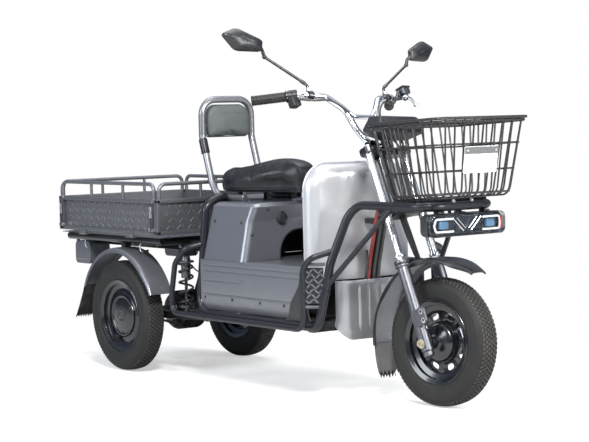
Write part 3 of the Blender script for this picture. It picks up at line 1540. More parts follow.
@dataclass
class CargoBed:
    """The drop-side bed: floor, front panel, three gates and their latches."""

    bottom: float = 539.0
    panel_top: float = 675.0
    rail_z: float = 733.0
    rail: float = 7.5
    bend: float = 50.0
    border: float = 15.0
    depth: float = 14.0
    half: float = 352.5
    end_half: float = 308.0
    front: float = 277.0
    middle: float = -83.5
    rear: float = -444.0
    wide: float = 302.0
    hinge: float = 531.0
    pivot: float = 560.0
    floor_low: float = 528.3
    floor_top: float = 531.3

    def gate_form(self, half: float, hinged: bool) -> Form:
        """One gate in its own frame: along X, its outer face towards +Y.

        Args:
            half: half of its length.
            hinged: True for a gate that folds, with its two hinges.

        Returns:
            Form: the gate.
        """
        form, d = Form(), self.depth / 2
        low, high, b = self.bottom, self.panel_top, self.border
        for z0, z1 in ((low, low + b), (high - b, high)):
            form.block((-half, -d, z0), (half, d, z1), 2.4)
        for x0 in (-half, half - b):
            form.block((x0, -d, low + 1), (x0 + b, d, high - 1), 2.4)
        form.block((-half + b - 2, -d, low + b - 2), (half - b + 2, 3 - d, high - b + 2), 0.6)
        edge = half - self.rail - 6
        form.tube([(-edge, 0, high - 3), (-edge, 0, self.rail_z), (edge, 0, self.rail_z),
                   (edge, 0, high - 3)],
                  self.rail, self.bend, 14)
        for x in (-half / 3, half / 3):
            form.tube([(x, 0, high - 3), (x, 0, self.rail_z)], 6, 0, 12)
        if hinged:
            for x in (-half / 2, half / 2):
                form.tube([(x - 18, 8, self.hinge), (x + 18, 8, self.hinge)], 6.9, 0, 14)
                form.block((x - 18, 5.2, self.hinge), (x + 18, 10.4, low + b), 0.8)
        return form

    def tread_places(self, half: float) -> list[tuple[Vector, Vector, Vector]]:
        """Places of the raised bars on a gate's panel, in crossed pairs.

        Args:
            half: half of the gate's length.

        Returns:
            list[tuple[Vector, Vector, Vector]]: each place with its two directions.
        """
        places = []
        wide, tall = half - self.border - 8, self.panel_top - self.border - 8
        columns = round(2 * wide / 25)
        for row in range(4):
            for k in range(columns + 1):
                x = lerp(-wide, wide, k / columns) + (6 if row % 2 else -6)
                z = lerp(self.bottom + self.border + 11, tall - 3, row / 3)
                if abs(x) > wide:
                    continue
                way = 1 if (k + row) % 2 else -1
                places.append((Vector((x, 2.6 - self.depth / 2, z)), Vector((0, 1, 0)), Vector((way, 0, 1))))
        return places

    def bar_shape(self) -> Form:
        """One raised tread bar, pointed at both ends."""
        rise = 1.9
        low = [(-13, 0, 0), (-6, -3.1, 0), (6, -3.1, 0), (13, 0, 0), (6, 3.1, 0), (-6, 3.1, 0)]
        top = [(x * 0.74, y * 0.5, rise) for x, y, _ in low]
        return Form().loft([low, top])

    def floor_form(self) -> Form:
        """The bed's floor with its hinge seats."""
        form = Form()
        form.block((-442, -300, self.floor_low), (284, 300, self.floor_top), 0.6)
        for k in range(9):
            y = lerp(-240, 240, k / 8)
            form.prism([(y - 8, 531.2), (y - 5, 532.6), (y + 5, 532.6), (y + 8, 531.2)], -405, 255, "X", 0.3)
        seats = [(Matrix.Rotation(math.pi if s < 0 else 0, 4, "Z"), s * self.middle + w * 176.2, 310, 282.7)
                 for s in SIDES for w in SIDES]
        seats += [(Matrix.Rotation(math.pi / 2, 4, "Z"), w * 154, 452, 424.7) for w in SIDES]
        for turn, x, out, inner in seats:
            for way in SIDES:
                near, far = x + way * 18.3, x + way * 26.3
                form.block((near, inner, 524), (far, out + 7, self.floor_top), 1, 0, turn)
            ends = (turn @ Vector((x + way * 22, out, self.hinge)) for way in SIDES)
            form.tube(ends, 3, 0, 12)
        return form

    def latch_form(self, x: float) -> Form:
        """An over-centre latch: the lever with its wire loop and pivot.

        Args:
            x: where it stands along the gate.

        Returns:
            Form: the latch.
        """
        form = Form()
        out = self.depth / 2 + 6.3
        form.tube([(x - 8, out, self.pivot), (x + 8, out, self.pivot)], 6, 0, 16)
        lever = [(out - 2.5, 560), (out + 2.5, 560), (out + 3.4, 600), (out + 2.8, 640), (out + 5.5, 657),
                 (out + 3.6, 660), (out - 0.6, 652), (out - 2.2, 610)]
        form.prism(lever, x - 7.5, x + 7.5, "X", 1.2)
        for dx in (-5.2, 5.2):
            form.tube([(x + dx, out + 4, 606), (x + dx, out + 4.6, 648)], 1.7, 0, 8, 1)
        return form

    def latch_mount(self, form: Form, x: float) -> None:
        """The latch's lugs and its hook plate on the gate.

        Args:
            form: the gate that they are added to.
            x: where the latch stands along it.
        """
        out = self.depth / 2 + 6.3
        for way in SIDES:
            form.block((x + way * 8.3, 0, 554), (x + way * 13, out + 6, 566), 1.5, 1)
        form.tube([(x - 12.5, out, self.pivot), (x + 12.5, out, self.pivot)], 2.5, 0, 12, 1)
        form.block((x - 7, self.depth / 2 - 1, 664), (x + 7, self.depth / 2 + 2.2, 674), 0.8, 1)

    def build(self) -> None:
        """Makes the bed."""
        front = Matrix.Translation((self.front, 0, 0)) @ Matrix.Rotation(-math.pi / 2, 4, "Z")
        floor = self.floor_form()
        panel = self.gate_form(self.end_half, False)
        floor.solid((panel.verts, panel.faces), 0, front)
        settle(floor.piece("bed_floor", BENCH, [PANEL]), "chassis", ["bed_tray"])
        self._bars("bed_front_bars", self.end_half, BENCH @ front, "chassis")
        for side in SIDES:
            name = side_name(side)
            turn = Matrix.Rotation(0 if side > 0 else math.pi, 4, "Z")
            place = BENCH @ Matrix.Translation((self.middle, side * self.wide, 0)) @ turn
            form = self.gate_form(self.half, True)
            for way in SIDES:
                x = way * (self.half - 16)
                self.latch_mount(form, x)
                end = "front" if (way > 0) == (side > 0) else "rear"
                lever = self.latch_form(x).piece(f"latch_{end}_{name}", place, [ALLOY, ZINC])
                settle(lever, f"latch_{end}_{name}", [f"gate_latch_{end}_{name}"])
            settle(form.piece(f"gate_{name}", place, [PANEL, ZINC]), f"gate_{name}",
                   [f"side_gate_{name}"])
            self._bars(f"gate_{name}_bars", self.half, place, f"gate_{name}")
        place = BENCH @ Matrix.Translation((self.rear, 0, 0)) @ Matrix.Rotation(math.pi / 2, 4, "Z")
        settle(self.gate_form(self.end_half, True).piece("gate_rear", place, [PANEL]), "tail_gate",
               ["tailgate"])
        self._bars("gate_rear_bars", self.end_half, place, "tail_gate")
        hooks = Form()
        for side in SIDES:
            for x in (-290, 120):
                top = Vector((x, side * 280, 502))
                hooks.tube([top, top + Vector((0, side * 6, -8)), top + Vector((0, side * 4, -26)),
                            top + Vector((8, side * 4, -34)), top + Vector((14, side * 4, -28))], 2.2, 5, 10)
        settle(hooks.piece("rope_hooks", BENCH, [ZINC]), "chassis")

    def _bars(self, name: str, half: float, place: Matrix, body: str) -> None:
        """The tread bars of one panel.

        Args:
            name: the new piece's name.
            half: half of the panel's length.
            place: the gate's matrix.
            body: the body that they ride on.
        """
        made = REPEAT.make(name, self.bar_shape(), self.tread_places(half), place, BARS, 0.04, 11)
        settle(made, body)


# ---------------------------------------------------------------- seat, body and cockpit


@dataclass
class SeatBox:
    """The seat box with its arch, charge cover, saddle pan and saddle."""

    rings: tuple[tuple[float, float, float, float], ...] = (
        (500, 768, 262, 460.3), (500, 767, 258, 474), (500, 761, 230, 586), (500, 760, 226.8, 600),
        (500, 761.5, 223.8, 611), (500, 770.5, 215, 645), (500, 772, 213, 655), (509, 760, 199, 665),
        (514, 756, 194, 668),
    )
    wall: float = 4.0
    arch_half: float = 97.0
    arch_top: float = 568.0
    arch_bend: float = 90.0
    arch_foot: float = 462.0
    cover_y: float = -81.0
    cover_z: float = 610.0

    def ring(self, rear: float, front: float, half: float, z: float, pull: float = 0.0) -> list[Vector]:
        """One level ring of the box with its upright edges rounded."""
        spots = rounded_box((rear + pull, front - pull), (-half + pull, half - pull), 26, 5)
        return [Vector((x, y, z)) for x, y in spots]

    def box(self) -> Form:
        """The box: outer and inner walls joined at the foot, the front face opened by the arch."""
        form = Form()
        rings = [self.ring(*r) for r in self.rings]
        inner = [self.ring(*r, pull=self.wall) for r in self.rings[:-1]]
        inner[-1] = [Vector((p.x, p.y, 661)) for p in inner[-1]]
        count = len(rings[0])
        verts: list[Vector] = []
        faces: list[Face] = []
        for ring in rings:
            verts += ring
        for i in range(len(rings) - 1):
            for k in range(count):
                a, b = i * count + k, i * count + (k + 1) % count
                faces.append((a, b, b + count, a + count))
        faces.append(tuple(range((len(rings) - 1) * count, len(rings) * count)))
        base = len(verts)
        for ring in inner:
            verts += ring
        for i in range(len(inner) - 1):
            for k in range(count):
                a, b = base + i * count + k, base + i * count + (k + 1) % count
                faces.append((a, a + count, b + count, b))
        faces.append(tuple(reversed(range(base + (len(inner) - 1) * count, base + len(inner) * count))))
        for k in range(count):
            faces.append((k, base + k, base + (k + 1) % count, (k + 1) % count))
        form.solid((verts, faces))
        return form

    def arch(self, grow: float, foot: float) -> list[tuple[float, float]]:
        """The arch's outline in the front face, from the foot up and over.

        Args:
            grow: how much larger than the arch itself it is.
            foot: the height of its feet.

        Returns:
            list[tuple[float, float]]: pairs of Y and Z.
        """
        half, top, r = self.arch_half + grow, self.arch_top + grow, self.arch_bend + grow
        spots = [(-half, foot)]
        for k in range(9):
            a = math.pi - math.pi / 2 * k / 8
            spots.append((-half + r + r * math.cos(a), top - r + r * math.sin(a)))
        spots += [(-y, z) for y, z in reversed(spots)]
        return spots

    def build(self) -> None:
        """Makes the box, the cover, the pan and the saddle."""
        made = self.box().piece("seat_case", BENCH, [BODY, PLASTIC, GLOSS], 32)
        cutter = Form().prism(self.arch(0, self.arch_foot - 22), 735, 800, "X")
        self._cut(made, cutter.piece("arch_cutter", BENCH, [PLASTIC]))
        trim = Form()
        trim.tube([(self.face(z) - 0.2, y, z) for y, z in self.arch(-1.5, self.arch_foot)], 3.2, 0, 10)
        rim = Matrix.Translation((self.face(self.cover_z) - 1.5, self.cover_y, self.cover_z))
        rim @= Matrix.Rotation(math.pi / 2, 4, "Y")
        trim.lathe([(20.5, -4), (25.5, -3), (26, 0.5), (24.6, 2.2), (21.2, 2.2), (20.5, 0.5)], rim, 40, 1,
                   True)
        settle(made, "chassis", ["seat_box"])
        settle(trim.piece("seat_case_trim", BENCH, [PLASTIC, GLOSS]), "chassis")
        bolts = []
        for y, z in ((-150, 646), (150, 646), (-216, 556), (216, 556)):
            bolts.append((Vector((self.face(z) - 0.4, y, z)), Vector((1, 0, 0)), Vector((0, 1, 0))))
        for side in SIDES:
            for x in (548, 716):
                bolts.append((Vector((x, side * 227.4, 600)), Vector((0, side, 0.25)), Vector((1, 0, 0))))
        settle(REPEAT.make("seat_case_bolts", dome_bolt(6.5, 3.2), bolts, BENCH, BLACK), "chassis")
        self._cover()
        self._pan()

    def face(self, z: float) -> float:
        """Where the front face stands at a height."""
        for low, high in zip(self.rings, self.rings[1:]):
            if low[3] <= z <= high[3]:
                return lerp(low[1], high[1], (z - low[3]) / (high[3] - low[3]))
        return self.rings[0][1]

    @staticmethod
    def _cut(target: bpy.types.Object, cutter: bpy.types.Object) -> None:
        """Cuts one piece with another, which is then removed."""
        cut = target.modifiers.new("cut", "BOOLEAN")
        cut.operation, cut.solver, cut.object = "DIFFERENCE", "EXACT", cutter
        fair = target.modifiers.new("fair", "WEIGHTED_NORMAL")
        fair.keep_sharp = True
        made = target.evaluated_get(bpy.context.evaluated_depsgraph_get())
        target.data = bpy.data.meshes.new_from_object(made)
        target.modifiers.clear()
        bpy.data.objects.remove(cutter)

    def _cover(self) -> None:
        """The round charge cover on its little hinge."""
        x = 769.3
        turn = Matrix.Translation((x, self.cover_y, self.cover_z)) @ Matrix.Rotation(math.pi / 2, 4, "Y")
        form = Form().lathe([(19.6, 0), (20, 1.4), (19, 3.6), (15, 4.4), (13.6, 3.5), (6, 3.6), (0.1, 3.8)],
                            turn, 40)
        form.tube([(x + 1.5, self.cover_y - 8, 632.5), (x + 1.5, self.cover_y + 8, 632.5)], 2.6, 0, 10)
        form.block((x, self.cover_y - 5, 626), (x + 3, self.cover_y + 5, 633), 0.8)
        form.block((x + 2, self.cover_y - 4, 590.5), (x + 5.4, self.cover_y + 4, 594.5), 0.8)
        settle(form.piece("charge_cap", BENCH, [GLOSS]), "charge_lid", ["charge_cover"])

    def _pan(self) -> None:
        """The saddle's black pan with its hinge and stops."""
        form = Form()
        rings = [[Vector((x, y, z)) for x, y in self.plan(level, inset)] for z, level, inset in
                 ((700, 0.8, 16), (702, 0.92, 12), (711, 0.95, 10), (713.5, 0.95, 10))]
        form.loft(rings, 0)
        for side in SIDES:
            form.lathe([(9, 668), (10, 670), (9.6, 700), (8, 703)], Matrix.Translation((478, side * 60, 0)),
                       16)
            form.block((736, side * 10 if side > 0 else side * 16, 684),
                       (760, side * 16 if side > 0 else side * 10, 702), 1.5)
        form.tube([(748, -18, 686), (748, 18, 686)], 7.4, 0, 14)
        settle(form.piece("saddle_base", BENCH, [PLASTIC]), "saddle_assembly",
               ["saddle_pan"])

    @staticmethod
    def plan(level: float, inset: float) -> list[tuple[float, float]]:
        """The saddle's outline seen from above, pulled in by an inset.

        Args:
            level: the share of its width at this height.
            inset: how far it is pulled in.

        Returns:
            list[tuple[float, float]]: pairs of X and Y.
        """
        shares = ((0, 0.60), (0.03, 0.80), (0.08, 0.93), (0.2, 1), (0.32, 0.98), (0.42, 0.92), (0.52, 0.80),
                  (0.62, 0.65),
                  (0.72, 0.52), (0.8, 0.43), (0.88, 0.38), (0.94, 0.33), (0.98, 0.25), (1, 0.14))
        half, rear, front = 132 * level - inset, 400 + inset, 830 - inset
        left = [(lerp(rear, front, s), half * w) for s, w in shares]
        return [*[(x, -y) for x, y in left], *reversed(left)]


@dataclass
class Cushions:
    """The saddle and the backrest pad, blown up as cloth."""

    frames: int = 20
    pressure: float = 3.2
    voxel: float = 0.0048
    quality: int = 5
    mass: float = 0.3
    stiffness: float = 12.0
    hem: float = 713.5

    def saddle_form(self) -> Form:
        """The saddle before it is blown up."""
        rings, steps, hem = [], 34, self.hem
        for i in range(steps + 1):
            s = i / steps
            x = lerp(403, 827, s)
            width = self._share(s, ((0, 0.50), (0.03, 0.74), (0.08, 0.9), (0.2, 1), (0.32, 0.985),
                                    (0.42, 0.92), (0.52, 0.80),
                                    (0.62, 0.66), (0.72, 0.53), (0.8, 0.44), (0.88, 0.385), (0.94, 0.345),
                                    (0.98, 0.28), (1, 0.17)))
            top = self._share(s, ((0, 754), (0.04, 772), (0.12, 780), (0.25, 779), (0.38, 786), (0.5, 798),
                                  (0.6, 806), (0.72, 811),
                                  (0.85, 811), (0.93, 804), (0.98, 788), (1, 770)))
            half = 129 * width
            crown = self._share(s, ((0, 6), (0.3, 13), (0.6, 10), (1, 6)))
            shoulder = lerp(hem, top, 0.62)
            dish = self._share(s, ((0, 0), (0.1, 6), (0.26, 9), (0.42, 5), (0.6, 0), (1, 0)))
            ring = [(0, hem), (half * 0.7, hem), (half * 0.88, hem), (half * 0.905, 703), (half * 0.945, 705),
                    (half * 0.98, 716), (half, lerp(hem, top, 0.36)),
                    (half * 0.985, shoulder), (half * 0.93, lerp(shoulder, top, 0.55)),
                    (half * 0.82, top - 3),
                    (half * 0.62, top + crown * 0.35), (half * 0.34, top + crown * 0.6 - dish),
                    (0, top + crown * 0.7 - dish * 1.25)]
            right = [(-y, z) for y, z in ring[1:-1]]
            rings.append([Vector((x, y, z)) for y, z in [*ring, *reversed(right)]])
        return Form().loft(rings)

    @staticmethod
    def _share(at: float, table: Sequence[tuple[float, float]]) -> float:
        """A value read from a table, straight between its lines.

        Args:
            at: the share to read at.
            table: pairs of a share and its value.

        Returns:
            float: the value there.
        """
        for (a, low), (b, high) in zip(table, table[1:]):
            if at <= b:
                return lerp(low, high, (at - a) / (b - a))
        return table[-1][1]

    def pad_form(self) -> Form:
        """The backrest pad before it is blown up."""
        rings = []
        for x, pull in ((307.5, 9), (309, 4), (314, 1.5), (324, 1.0), (332, 3), (337, 7), (340, 15),
                        (341.5, 30)):
            shares = ((0, 0.03), (0.3, 0.01), (0.6, 0), (1, 0.02))
            left = []
            low, high = 905 + pull, 1028 - pull
            for k in range(7):
                a = math.pi / 2 * k / 6
                left.append((low + 10 * (1 - math.cos(a)), 1 - 0.1 * (1 - math.sin(a))))
            for s in (0.4, 0.5, 0.6, 0.7):
                left.append((lerp(low, high, s), 1.0))
            for k in range(7):
                a = math.pi / 2 * k / 6
                left.append((high - 44 * (1 - math.sin(a)), 1 - 0.40 * (1 - math.cos(a))))
            spots = []
            for z, part in left:
                s = (z - 905) / 123
                spots.append(((99 - pull) * part * (1 - self._share(min(1, max(0, s)), shares)), z))
            rings.append([Vector((x, y, z)) for y, z in [*spots, *[(-y, z) for y, z in reversed(spots)]]])
        return Form().loft(rings, 0)

    def blow(self, made: bpy.types.Object, cap: float, keep: Callable[[Vector], float]) -> None:
        """Blows a closed piece up as cloth and caps how far it moves.

        Args:
            made: the piece.
            cap: the largest move in metres.
            keep: how much of its move a point keeps.
        """
        remesh = made.modifiers.new("even", "REMESH")
        remesh.mode, remesh.voxel_size = "VOXEL", self.voxel
        self._bake(made)
        start = [v.co.copy() for v in made.data.vertices]
        moved = start
        cloth = made.modifiers.new("cloth", "CLOTH")
        cloth.settings.use_pressure = True
        cloth.settings.uniform_pressure_force = self.pressure
        cloth.settings.effector_weights.gravity = 0
        cloth.settings.quality = self.quality
        cloth.settings.mass = self.mass
        cloth.settings.tension_stiffness = cloth.settings.compression_stiffness = self.stiffness
        cloth.point_cache.frame_start, cloth.point_cache.frame_end = 1, self.frames
        scene = bpy.context.scene
        for step in range(1, self.frames + 1):
            scene.frame_set(step)
        shape = made.evaluated_get(bpy.context.evaluated_depsgraph_get()).to_mesh()
        moved = [v.co.copy() for v in shape.vertices]
        made.modifiers.remove(cloth)
        scene.frame_set(1)
        for vert, before, after in zip(made.data.vertices, start, moved):
            move = after - before
            length = move.length
            if length > cap:
                move *= cap / length
            vert.co = before + move * keep(before)
        soft = made.modifiers.new("soft", "SMOOTH")
        soft.factor, soft.iterations = 0.5, 6
        fine = made.modifiers.new("fine", "SUBSURF")
        fine.levels = fine.render_levels = 1
        self._bake(made)

    @staticmethod
    def _bake(made: bpy.types.Object) -> None:
        """Turns a piece's modifiers into its mesh."""
        materials = list(made.data.materials)
        mesh = bpy.data.meshes.new_from_object(made.evaluated_get(bpy.context.evaluated_depsgraph_get()))
        made.modifiers.clear()
        made.data = mesh
        mesh.materials.clear()
        for material in materials:
            mesh.materials.append(material)
        for polygon in mesh.polygons:
            polygon.use_smooth = True
            polygon.material_index = 0

    @staticmethod
    def groove(made: bpy.types.Object, depth: float, width: float, line: Callable[[Vector], float]) -> None:
        """Presses a seam into a piece along the line where a rule is nought.

        Args:
            made: the piece.
            depth: the seam's depth in metres.
            width: the seam's half width in metres.
            line: a point's distance from the seam.
        """
        normals = [v.normal.copy() for v in made.data.vertices]
        for vert, normal in zip(made.data.vertices, normals):
            away = abs(line(vert.co)) / width
            if away < 1:
                vert.co -= normal * depth * (1 - away * away) ** 2

    def build(self) -> None:
        """Makes both cushions with their seams."""
        saddle = self.saddle_form().piece("saddle_cushion", BENCH, [SADDLE], 60)
        hem = (BENCH @ Vector((0, 0, 718))).z
        self.blow(saddle, 0.009, lambda p: smoothed((p.z - hem) / 0.03))
        origin = BENCH.translation
        for vert in saddle.data.vertices:
            vert.co.z = max(vert.co.z, (BENCH @ Vector((0, 0, 703))).z)
        self.groove(saddle, 0.0012, 0.004, lambda p: p.z - origin.z - 0.7155)
        settle(saddle, "saddle_assembly", ["saddle"])
        self._stitches("saddle_stitches", saddle, "saddle_assembly", origin)
        pad = self.pad_form().piece("backrest_cushion", BENCH, [PAD], 60)
        back = (BENCH @ Vector((309, 0, 0))).x
        self.blow(pad, 0.007, lambda p: smoothed((p.x - back) / 0.012))
        self.groove(pad, 0.0013, 0.003, lambda p: (p.z - origin.z - 0.992) if p.x - back > 0.012 else 1.0)
        settle(pad, "chassis", ["backrest_pad"])
        piping = Form()
        edge = [Vector((313, y, z)) for y, z in self._pad_edge()]
        piping.tube(edge, 2.6, 0, 10, 0, True)
        settle(piping.piece("backrest_piping", BENCH, [PAD]), "chassis")

    def _pad_edge(self) -> list[tuple[float, float]]:
        """The pad's outline, along which its piping runs."""
        rings = self.pad_form().verts
        line = [v for v in rings if abs(v.x - 314) < 0.1]
        return [(v.y * 1.004, v.z) for v in line]

    @staticmethod
    def _stitches(name: str, made: bpy.types.Object, body: str, origin: Vector) -> None:
        """A row of stitches beside the saddle's seam.

        Args:
            name: the new piece's name.
            made: the cushion.
            body: the body that it rides on.
            origin: the bench's origin in the row frame.
        """
        tree = BVHTree.FromObject(made, bpy.context.evaluated_depsgraph_get())
        spots = []
        last = None
        for k in range(1200):
            angle = 2 * math.pi * k / 1200
            way = Vector((math.cos(angle), math.sin(angle), 0))
            start = origin + Vector((0.565, 0, 0.7215)) + way * 0.6
            hit, normal, _, _ = tree.ray_cast(start, -way)
            if hit is None or (last is not None and (hit - last).length < 0.0062):
                continue
            if last is not None:
                lay = (hit - last).normalized()
                spots.append((BENCH.inverted() @ hit, normal, lay))
            last = hit
        stitch = Form().tube([(-2.1, 0, -0.1), (0, 0, 0.55), (2.1, 0, -0.1)], 0.45, 0, 6)
        settle(REPEAT.make(name, stitch, spots, BENCH, GREY_FLAP), body)


@dataclass
class Backrest:
    """The backrest's bent tube with its sleeve, strap and lower ends."""

    radius: float = 13.0
    bend: float = 60.0

    def build(self) -> None:
        """Makes the tube."""
        form = Form()
        legs = [(584, 115, 679.6), (410, 115, 679.6), (372, 115, 736), (316, 115, 907), (316, 115, 1048)]
        route = [*legs, *[(x, -y, z) for x, y, z in reversed(legs)]]
        form.tube(route, self.radius, self.bend, 20)
        form.tube([(337, -115, 842), (318.5, -115, 900)], 16.2, 0, 20, 1)
        form.tube([(334.6, -115, 850), (333.9, -115, 852.5)], 17.2, 0, 20, 1)
        for side in SIDES:
            low, high = sorted((side * 60, side * 76))
            form.block((302.2, low, 938), (306.2, high, 992), 1)
            form.lathe([(5, 0), (5, 2.6), (3.4, 3.6)],
                       Matrix.Translation((302.4, side * 68, 965)) @ Matrix.Rotation(-math.pi / 2, 4, "Y"),
                       14, 1)
        form.tube([(307, -115, 965), (304.5, -104, 965), (304.5, 104, 965), (307, 115, 965)], 4.6, 0, 12, 0,
                  flat=0.5)
        settle(form.piece("backrest_tube", BENCH, [LOOP, TUBE]), "chassis", ["backrest_frame"])


@dataclass
class Bodywork:
    """The footwell floor, the skirts, the leg shield, the apron and the battery."""

    skirt_face: float = 268.3
    skirt_rear: float = 499.6
    skirt_front: float = 1140.0
    grooves: tuple[float, ...] = (440.0, 420.0, 384.0)
    step_end: float = 760.0

    def skirt(self, side: int) -> Form:
        """A skirt: ribbed face, rolled foot and rounded ends, as a bent sheet.

        Args:
            side: 1 for the rider's left, -1 for the right.

        Returns:
            Form: the skirt with its dark front corner.
        """
        levels = []
        for z in self.grooves:
            levels += [(z + 3.4, 0.0), (z + 2.2, -0.4), (z + 1.5, -2.4), (z - 1.5, -2.4), (z - 2.2, -0.4),
                       (z - 3.4, 0.0)]
        section = [(460, -1.6), (458, -0.2), (452, 0.0), *levels, (345, 0), (341, -1.8), (336, -1.8),
                   (332, 0), (322, -0.9), (308, -3.2),
                   (294, -6.6), (283, -9.6), (277, -12), (275, -14)]
        rear, front, count = self.skirt_rear, self.skirt_front, 36
        columns = [(rear + 0.2, -4.5), (rear + 1.6, -1.4), (rear + 5, 0),
                   *[(lerp(rear, front, k / count), 0) for k in range(1, count)],
                   (front - 5, 0), (front - 1.6, -1.4), (front - 0.2, -4.5)]
        grid = []
        for z, inset in section:
            row = []
            for x, end in columns:
                fade = 1.0
                if inset < 0 and 330 < z < 450:
                    end_x = self.step_end if 370 < z < 400 else 1118
                    fade = smoothed((x - 520) / 12) * smoothed((end_x - x) / 12)
                row.append(Vector((x, side * (self.skirt_face - 1.0 + inset * fade + end), z)))
            grid.append(row)
        if side > 0:
            grid = [row[::-1] for row in grid]
        form = Form().sheet(grid, 2.4)
        face = self.skirt_face - 0.6
        low, high = sorted((side * (face - 2), side * (face + 1.4)))
        form.block((self.step_end - 6, low, 374), (self.step_end + 14, high, 396), 2)
        gusset = [(1108, 451), (1139, 451), (1139, 277), (1032, 277), (1050, 335), (1100, 400)]
        low, high = sorted((side * (face - 1), side * (face + 1.6)))
        form.prism(gusset, low, high, "Y", 0.6, 1)
        return form

    def floor(self) -> Form:
        """The footwell floor with its raised edge, ribs and the tongue inside the shield."""
        form = Form()
        form.block((500, -262, 452), (1079.7, 262, 459.6), 2.6)
        form.block((1074, -205, 452), (1122, 205, 459.6), 2)
        for side in SIDES:
            for off in (8, 20):
                form.tube([(775, side * (262 - off), 459.8), (1076, side * (262 - off), 459.8)], 2.6, 0, 8, 0,
                          flat=0.6)
        return form

    @staticmethod
    def shield_face(y: float) -> float:
        """Where the shield's face stands beside its middle."""
        return 1160 - 28 * (y / 180) ** 2

    @staticmethod
    def shield_edge() -> list[tuple[Vector, Vector]]:
        """The shield's outline, foot to foot over the top: pairs of Y and Z with their inward directions."""
        half, top, corner, foot = 225.0, 812.0, 92.0, 411.0
        left = [(Vector((half, lerp(foot, top - corner, k / 14))), Vector((-1, 0))) for k in range(15)]
        for k in range(1, 11):
            way = Vector((math.cos(math.pi / 20 * k), math.sin(math.pi / 20 * k)))
            left.append((Vector((half - corner, top - corner)) + way * corner, -way))
        left += [(Vector(((half - corner) * (1 - k / 5), top)), Vector((0, -1))) for k in range(1, 6)]
        right = [(Vector((-p.x, p.y)), Vector((-n.x, n.y))) for p, n in reversed(left[:-1])]
        return [*left, *right]

    def shield(self) -> Form:
        """The leg shield: a bowed face whose edge is rolled back all round into a flange."""
        grid, roll, rear = [], 45.0, 1080.5
        for spot, inward in self.shield_edge():
            row = [Vector((rear, spot.x, spot.y))]
            for k in range(9):
                angle = math.pi / 2 * k / 8
                at = spot + inward * (roll * (1 - math.cos(angle)))
                front = self.shield_face(min(180.0, abs((spot + inward * roll).x)))
                row.append(Vector((front - roll * (1 - math.sin(angle)), at.x, at.y)))
            start = spot + inward * roll
            goal = Vector((0, min(start.y, 660)))
            for k in range(1, 11):
                at = start.lerp(goal, k / 10)
                dent = 5 * math.exp(-(((at.y - 600) / 90) ** 2) - (at.x / 70) ** 2)
                row.append(Vector((self.shield_face(at.x) - dent, at.x, at.y)))
            grid.append(row)
        return Form().sheet(grid, 3.0)

    def shield_cap(self) -> Form:
        """The rolled bead on the shield's rear edge."""
        return Form().tube([(1080.5, p.x, p.y) for p, _ in self.shield_edge()], 3.6, 0, 12)

    def apron(self) -> Form:
        """The front apron: a dished panel with sunk ribs and wrapped sides."""
        columns = []
        for y in range(-120, 121, 4):
            rib = 0.0
            for k in range(5):
                near = abs(y - (k - 2) * 44) / 7
                rib = min(rib, -4.6 * (1 - near * near) ** 2 if near < 1 else 0)
            columns.append((1205 - 5 * (y / 120) ** 2, y, rib))
        wrap = []
        for k in range(1, 7):
            a = math.pi / 2 * k / 6
            wrap.append((1200 - 32 * (1 - math.cos(a)), 120 + 34 * math.sin(a), 0.0))
        wrap.append((1160, 155, 0.0))
        columns = [*[(x, -y, r) for x, y, r in reversed(wrap)], *columns, *wrap]
        grid = []
        for r in range(19):
            s = r / 18
            row = []
            for x, y, rib in columns:
                edge = max(0.0, (abs(y) - 105) / 50)
                low = 205 + 50 * (1 - math.sqrt(max(0.0, 1 - min(1, edge) ** 2)))
                z = lerp(low, 410, s)
                depth = rib * smoothed((z - 232) / 22) * smoothed((398 - z) / 10)
                tuck = -8 * (1 - smoothed((z - low) / 26)) - 3 * smoothed((z - 400) / 10)
                row.append(Vector((x + depth + tuck, y, z)))
            grid.append(row)
        return Form().sheet(grid, 3.0)

    def build(self) -> None:
        """Makes the body panels."""
        for side in SIDES:
            name = side_name(side)
            settle(self.skirt(side).piece(f"skirt_{name}", BENCH, [BODY, BLACK], 30), "chassis",
                   [f"side_skirt_{name}"])
        settle(self.floor().piece("footwell", BENCH, [BODY]), "chassis", ["floor_panel"])
        settle(self.shield().piece("shield_skin", BENCH, [SILVER], 50), "chassis",
               ["leg_shield"])
        settle(self.shield_cap().piece("shield_rim", BENCH, [SILVER]), "chassis")
        settle(self.apron().piece("apron_skin", BENCH, [APRON], 40), "chassis", ["front_apron"])
        case = Form().block((785, -134.7, 271.4), (1050, 134.7, 430), 8)
        case.block((779, -134.7, 404), (1050, 134.7, 416), 3)
        for k in range(6):
            y = lerp(-105, 105, k / 5)
            case.block((783.6, y - 3, 290), (786.5, y + 3, 398), 1)
        case.tube([(910, -50, 432), (910, -50, 438), (910, 50, 438), (910, 50, 432)], 1.8, 4, 10, 1)
        settle(case.piece("battery_case", BENCH, [PLASTIC, GLOSS]), "chassis",
               ["battery_pack"])
        bolts = []
        for y in (-190, 190):
            for z in (470, 700):
                x = self.shield_face(182) - 2.6 if abs(y) > 182 else self.shield_face(y)
                bolts.append((Vector((x - 0.8, y, z)), Vector((1, 0.3 * (1 if y > 0 else -1), 0)),
                              Vector((0, 0, 1))))
        for side in SIDES:
            for x in (528, 700, 870, 1010, 1112):
                bolts.append((Vector((x, side * (self.skirt_face - 1.2), 322)), Vector((0, side, -0.1)),
                              Vector((1, 0, 0))))
        settle(REPEAT.make("panel_screws", dome_bolt(5.5, 2.6), bolts, BENCH, BLACK), "chassis")


